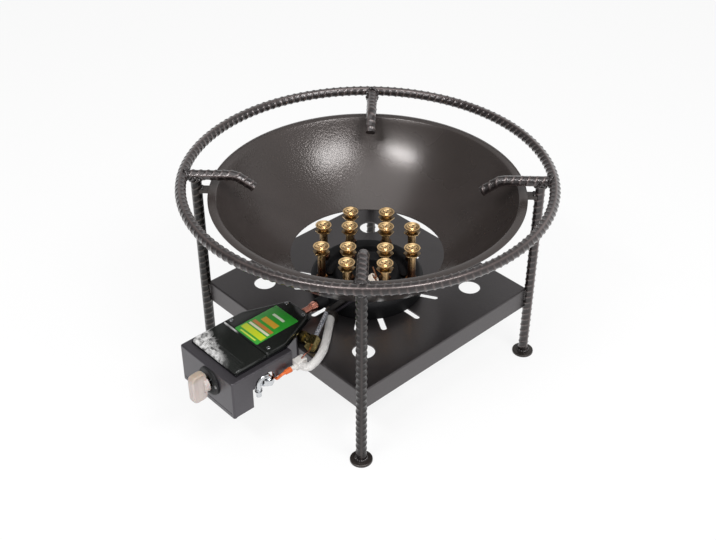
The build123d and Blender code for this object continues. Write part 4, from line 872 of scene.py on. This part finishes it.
def screw_head(foot, ahead):
    """Rows of a pan head: a low dome on a rim, less a cross of two crossing bars with soft walls."""
    side, up = square_to(ahead)
    share = np.concatenate([[1.0, 1.0], np.linspace(1, SCREW_CORE, SCREW_STEPS)])[:, None]
    turn = full_turn(SCREW_AROUND)
    across, along = share * np.cos(turn), share * np.sin(turn)
    bars = [np.minimum(np.clip((CROSS_HALF[0] - np.abs(a)) / CROSS_WALL[0] + 0.5, 0, 1),
                       np.clip((CROSS_HALF[1] - np.abs(b)) / CROSS_WALL[1] + 0.5, 0, 1))
            for a, b in ((across, along), (along, across))]
    dome = SCREW_RIM + (1 - SCREW_RIM) * np.sqrt(np.clip(1 - share**SCREW_DOME, 0, 1))
    height = SCREW_H * dome + 0 * turn
    height[0] = 0
    height = height - CROSS_DEPTH * SCREW_H * np.maximum(*bars)
    return (np.array(foot) + SCREW_R * (across[..., None] * side + along[..., None] * up)
            + height[..., None] * np.array(ahead))


screw_shells = [(screw_head((x * MM, y * MM, CASE_TOP), (0.0, 0.0, 1.0)), False) for x, y in CASE_SCREWS]
for x in (-COLLAR_SCREW_X, COLLAR_SCREW_X):
    screw_foot = (KNOB_AXIS[0] + x, COLLAR_FRONT_Y + COLLAR_SCREW_SUNK, KNOB_AXIS[1])
    screw_shells.append((screw_head(screw_foot, (0.0, -1.0, 0.0)), False))
nickel = plain_metal("nickel_plate", ("#c9cacc", "#a6a8ab"), roughness=0.18, patch_mm=2)
add_piece("pan_head_screws", screw_shells, nickel, stands_for=["cover_screws"], sharp=35)

# Collar on the box's front round the valve's stem: turned from black nylon, with a raised rim. Two screws
# hold it to the panel.
COLLAR_BACK = (KNOB_AXIS[0], -279 * MM, KNOB_AXIS[1])
COLLAR_PROFILE = [(9, 0), (20, 0), (20, 2), (18.6, 3), (12.4, 3), (11.6, 2.5), (10.6, 2.5), (10, 3),
                  (9, 2.8)]
nylon_black = moulded("black_nylon", ("#09090a", "#121214"), roughness=0.55, grain_mm=0.8, depth_mm=0.04)
collar_rows = turned(np.array(COLLAR_PROFILE) * MM, count=96, foot=COLLAR_BACK, ahead=(0.0, -1.0, 0.0))
add_piece("stem_collar", [(collar_rows, True)], nylon_black, stands_for=["knob_collar"],
          sharp=35)

# Knob: a wing of milky polypropylene on a round hub, pressed on the valve's stem. Light goes a little way
# into it, so its edges look paler than its middle.
WING_SPAN = (-309.1 * MM, -286.2 * MM)
WING_Z = (89 * MM, 131 * MM)
WING_EASE = 8.5 * MM
WING_EDGE = [(3.6, -5.1), (2.2, -5.5), (0.9, -5.1), (0.2, -4.1), (0, -2.8), (0, 2.8), (0.2, 4.1), (0.9, 5.1),
             (2.2, 5.5), (3.6, 5.1)]
HUB_BACK = (KNOB_AXIS[0], -286.1 * MM, KNOB_AXIS[1])
HUB_PROFILE = [(4.2, 0), (11, 0), (11, 5), (9.6, 6.2), (4.2, 6.2)]


def milky_plastic():
    """Unpigmented polypropylene: waxy, cloudy along the flow of the mould, and darker and warmer towards its
    top."""
    material, tree, shader, where = new_material("milky_polypropylene", Subsurface_Weight=0.1,
                                                 Subsurface_Scale=1.5 * MM)
    flow = add_node(tree, "Mapping", {"Scale": (1 / (4 * MM), 1 / (4 * MM), 1 / (26 * MM))},
                    {"Vector": where})
    cloud = add_node(tree, "TexNoise", {"Scale": 1.0, "Detail": 4.0}, {"Vector": flow})
    place = add_node(tree, "SeparateXYZ", {}, {"Vector": where})
    shift = add_node(tree, "MapRange", {"From Min": 122 * MM, "From Max": 131 * MM, "To Max": 0.8},
                     {"Value": place.outputs["Z"]})
    milk = add_node(tree, "Mix", {"data_type": "RGBA", 6: linear("#b2a6a1"), 7: linear("#cec3be")},
                    {0: cloud})
    set_look(tree, shader, shift, (milk.outputs[2], "#9c8b77"), (cloud, 0.28, 0.46),
             (cloud, {"Strength": 0.4, "Distance": 0.15 * MM}))
    return material


wing_corners = [(WING_SPAN[1], WING_Z[1]), (WING_SPAN[0], WING_Z[1]), (WING_SPAN[0], WING_Z[0]),
                (WING_SPAN[1], WING_Z[0])]
wing_edge = np.array(WING_EDGE) * MM + (0, KNOB_AXIS[0])
wing_rows = slab(eased_plan(np.array(wing_corners), WING_EASE, steps=12), wing_edge, order=(2, 0, 1))
hub_rows = turned(np.array(HUB_PROFILE) * MM, count=64, foot=HUB_BACK, ahead=(0.0, -1.0, 0.0))
add_piece("wing_knob", [(wing_rows, False), (hub_rows, True)], milky_plastic(), body="knob",
          stands_for=["knob"], sharp=45)


# Spark electrode and flame sensor beside the front jets: a rod of glazed alumina with a cupped head, its
# wire, and a heat-blued steel rod. The lower part of the glaze is painted black as shade under the bowl.
def glaze_with_painted_shade():
    """Glazed white alumina: glossy and white at the head, and painted black below it with a ragged edge, as
    painted shade under the bowl.
    """
    material, tree, shader, where = new_material("alumina_glaze_with_painted_shade")
    place = add_node(tree, "SeparateXYZ", {}, {"Vector": where})
    cloud = add_node(tree, "TexNoise", {"Scale": 1 / (4 * MM), "Detail": 4.0}, {"Vector": where})
    ragged = add_node(tree, "Math", {"operation": "MULTIPLY_ADD", 1: 10 * MM},
                      {0: cloud, 2: place.outputs["Z"]})
    unshaded_share = add_node(tree, "MapRange", {"From Min": 170 * MM, "From Max": 179 * MM}, {"Value": ragged})
    set_look(tree, shader, unshaded_share, ("#1b1817", "#cfc5ba"), (unshaded_share, 0.55, 0.25))
    return material


dress(glaze_with_painted_shade(), "spark_electrode")
dress(plain_metal("heat_tinted_steel", ("#c08a66", "#7d5240"), roughness=0.42, patch_mm=2), "electrode_wire")
dress(plain_metal("heat_blued_steel", ("#4a464c", "#2c2a2f"), roughness=0.4, patch_mm=5), "flame_sensor")

# Connector at the box's side and the orange lead from it to the spark module: moulded white nylon, and
# silicone rubber over a stranded wire, pushed together by hand.
dress(moulded("white_nylon", ("#d3cfca", "#e6e3df"), roughness=0.4, grain_mm=1.0, depth_mm=0.03),
      "white_connector")
dress(moulded("orange_silicone", ("#cf5a22", "#e37a40"), roughness=0.45, grain_mm=1.0, depth_mm=0.04),
      "orange_lead")

# Sleeve of the spark lead: braided glass fibre over the wire. It leaves the bracket, lies on the tray, drops
# over its edge and turns back into the connector.
SLEEVE_ROUTE = [(26.2, -91.4, 120), (41, -108, 120), (55.5, -125, 120), (69, -141.5, 120.8),
                (77.5, -156, 122.2), (79.5, -168.5, 117.5), (73.5, -175.5, 111.5), (63, -175, 109.5)]
SLEEVE_R = 5.5 * MM
SLEEVE_AROUND = 40
SQUEEZE = (4.5 * MM, 0.035)   # distance between squeezed rings, and their share of the radius
SQUEEZE_DRIFT = 9 * MM        # the rings come and go over this
BRAID_PITCH = 3.4 * MM        # the real braid is finer, and drawn this coarse to show


def route_points(name, route):
    """Points along the smooth spline that has the route's points as its control points."""
    curve = bpy.data.curves.new(name, "CURVE")
    curve.dimensions = "3D"
    curve.resolution_u = 24
    spline = curve.splines.new("NURBS")
    spline.points.add(len(route) - 1)
    spline.points.foreach_set("co", np.c_[np.array(route) * MM, np.ones(len(route))].ravel())
    spline.order_u = 3
    spline.use_endpoint_u = True
    holder = bpy.data.objects.new(name, curve)
    line = bpy.data.meshes.new_from_object(holder)
    points = np.empty(3 * len(line.vertices))
    line.vertices.foreach_get("co", points)
    bpy.data.objects.remove(holder)
    bpy.data.meshes.remove(line)
    return points.reshape(-1, 3)


def add_sleeve(name, path, material):
    """Soft round sleeve along a path, with faint rings where it is squeezed. Each point keeps its distance
    along and round the sleeve, for the braid."""
    step = np.gradient(path, axis=0)
    along = np.cumsum(np.linalg.norm(step, axis=1))
    ahead = unit(step)
    side = unit(np.cross(ahead, above))
    up = np.cross(side, ahead)
    turn = full_turn(SLEEVE_AROUND)
    rings = SQUEEZE[1] * np.sin(2 * np.pi * along / SQUEEZE[0]) * np.sin(along / SQUEEZE_DRIFT)
    section = circle(turn, side[:, None], up[:, None])
    rows = path[:, None] + SLEEVE_R * (1 + rings)[:, None, None] * section
    piece = add_piece(name, [(rows, False)], material, stands_for=["lead_sleeve"])
    round_it = np.broadcast_arrays(along[:, None], SLEEVE_R * np.sin(turn), SLEEVE_R * np.cos(turn))
    braid = piece.data.attributes.new("braid", "FLOAT_VECTOR", "POINT")
    braid.data.foreach_set("vector", np.stack(round_it, -1).astype(np.float32).ravel())
    return piece


def glass_fibre():
    """Braided glass fibre: dull white with a slight sheen, two sets of strands that cross on the slant."""
    material, tree, shader, where = new_material("glass_fibre_braid", Roughness=0.62, Sheen_Weight=0.2)
    braid = add_node(tree, "Attribute", {"attribute_name": "braid"})
    place = add_node(tree, "SeparateXYZ", {}, {"Vector": braid.outputs["Vector"]})
    strands = []
    for way in ("ADD", "SUBTRACT"):
        slant = add_node(tree, "Math", {"operation": way}, {0: place.outputs["X"], 1: place.outputs["Y"]})
        phase = add_node(tree, "Math", {"operation": "MULTIPLY", 1: 2 * np.pi / BRAID_PITCH}, {0: slant})
        strands.append(add_node(tree, "Math", {"operation": "SINE"}, {0: phase}))
    cross = add_node(tree, "Math", {"operation": "MULTIPLY"}, {0: strands[0], 1: strands[1]})
    soil = add_node(tree, "TexNoise", {"Scale": 1 / (8 * MM), "Detail": 4.0}, {"Vector": where})
    tone = add_node(tree, "Math", {"operation": "MULTIPLY_ADD", 1: 0.18}, {0: cross, 2: soil})
    set_look(tree, shader, tone, ("#c4c1bf", "#eeece9"),
             relief=(cross, {"Strength": 0.6, "Distance": 0.3 * MM}))
    return material


sleeve_path = route_points("sleeve_line", SLEEVE_ROUTE)
sleeve = add_sleeve("glass_fibre_sleeve", sleeve_path, glass_fibre())

# Studio: a pale floor that keeps the shadow, white surroundings that darken overhead and to the left, two
# soft boxes beside the camera and a broad soft light above.
FLOOR_HALF = 15.0
FLOOR_GLOW = 0.85             # share of plain white in what the camera and reflections see of the floor
FAR_WHITE = 0.915             # past the floor's edge the camera sees the floor's white
AIM = (0.0, 0.0, 0.15)
SOFT_BOXES = {"soft_box_left": (11, 49, 1.95, 0.7, 0.22, 15.0),
              "soft_box_right": (84, 49, 1.95, 0.8, 0.45, 19.0), "overhead": (20, 80, 2.2, 1.6, 1.6, 12.0)}


def towards(azimuth, elevation):
    """Unit vector from the object: azimuth 0 is the front, -Y, and 90 the right, +X; elevation is above
    level."""
    a, e = np.radians((azimuth, elevation))
    return Vector((np.sin(a) * np.cos(e), -np.cos(a) * np.cos(e), np.sin(e)))


floor_mesh = bpy.data.meshes.new("floor")
floor_corners = [(-FLOOR_HALF, -FLOOR_HALF, 0), (FLOOR_HALF, -FLOOR_HALF, 0), (FLOOR_HALF, FLOOR_HALF, 0),
                 (-FLOOR_HALF, FLOOR_HALF, 0)]
floor_mesh.from_pydata(floor_corners, [], [(0, 1, 2, 3)])
floor = add_object("floor", floor_mesh)
floor_paper = bpy.data.materials.new("white_paper_floor")
floor_paper.use_nodes = True
tree = floor_paper.node_tree
shader = tree.nodes["Principled BSDF"]
shader.inputs["Base Color"].default_value = linear("#f2f2f2")
shader.inputs["Roughness"].default_value = 0.9
path = add_node(tree, "LightPath")
seen = path.outputs["Is Camera Ray"]
for kind in ("Is Glossy Ray", "Is Transmission Ray"):
    seen = add_node(tree, "Math", {"operation": "MAXIMUM"}, {0: seen, 1: path.outputs[kind]})
glow = add_node(tree, "Emission", {"Color": linear("#ffffff"), "Strength": 1.0})
share = add_node(tree, "Math", {"operation": "MULTIPLY", 1: FLOOR_GLOW}, {0: seen})
blend = add_node(tree, "MixShader", {}, {0: share, 1: shader, 2: glow})
tree.links.new(blend.outputs[0], tree.nodes["Material Output"].inputs["Surface"])
floor_mesh.materials.append(floor_paper)

world = bpy.data.worlds.new("studio")
bpy.context.scene.world = world
world.use_nodes = True
tree = world.node_tree
where = add_node(tree, "TexCoord").outputs["Generated"]
sky = add_node(tree, "SeparateXYZ", {}, {"Vector": where})
sideways = add_node(tree, "Math", {"operation": "ADD"}, {0: sky.outputs["X"], 1: sky.outputs["Y"]})
rearward = add_node(tree, "Math", {"operation": "SUBTRACT"}, {0: sky.outputs["Y"], 1: sky.outputs["X"]})
overhead = add_node(tree, "MapRange", {"From Min": 0.1, "From Max": 0.6, "To Min": 0.7, "To Max": 0.44},
                    {"Value": sky.outputs["Z"]})
left = add_node(tree, "MapRange", {"From Min": -1.25, "From Max": 1.2, "To Min": 0.4, "To Max": 1.3},
                {"Value": sideways})
rear = add_node(tree, "MapRange", {"From Min": 0.2, "From Max": 1.1, "To Min": 1.0, "To Max": 1.35},
                {"Value": rearward})
level = overhead
for factor in (left, rear):
    level = add_node(tree, "Math", {"operation": "MULTIPLY"}, {0: level, 1: factor})
path = add_node(tree, "LightPath")
far = add_node(tree, "Math", {"operation": "MULTIPLY", 1: FAR_WHITE}, {0: path.outputs["Is Camera Ray"]})
level = add_node(tree, "Math", {"operation": "MAXIMUM"}, {0: level, 1: far})
tree.links.new(level.outputs[0], tree.nodes["Background"].inputs["Strength"])
tree.nodes["Background"].inputs["Color"].default_value = linear("#ffffff")

for name, (azimuth, elevation, reach, width, height, watts) in SOFT_BOXES.items():
    lamp = bpy.data.lights.new(name, "AREA")
    lamp.shape = "RECTANGLE"
    lamp.size, lamp.size_y, lamp.energy = width, height, watts
    box = add_object(name, lamp)
    box.location = Vector(AIM) + towards(azimuth, elevation) * reach
    box.rotation_euler = towards(azimuth, elevation).to_track_quat("Z", "Y").to_euler()

# Camera at the photograph's place: its angle, distance and lens were worked out from the ring, legs and box.
# The aim is moved a little across and down, because the stove isn't in the middle of the picture.
VIEW_AZIMUTH = 47.09
VIEW_ELEVATION = 36.32
VIEW_DISTANCE = 1.577
VIEW_LENS = 57.44
VIEW_SHIFT = (-12.5 * MM, -8.35 * MM)
back = towards(VIEW_AZIMUTH, VIEW_ELEVATION)
turn_to_view = back.to_track_quat("Z", "Y")
right, up = turn_to_view @ Vector((1, 0, 0)), turn_to_view @ Vector((0, 1, 0))
camera_data = bpy.data.cameras.new("camera")
camera_data.lens = VIEW_LENS
camera = add_object("camera", camera_data)
camera.location = Vector(AIM) + right * VIEW_SHIFT[0] + up * VIEW_SHIFT[1] + back * VIEW_DISTANCE
camera.rotation_euler = turn_to_view.to_euler()
bpy.context.scene.camera = camera
bpy.context.scene.view_settings.view_transform = "Standard"
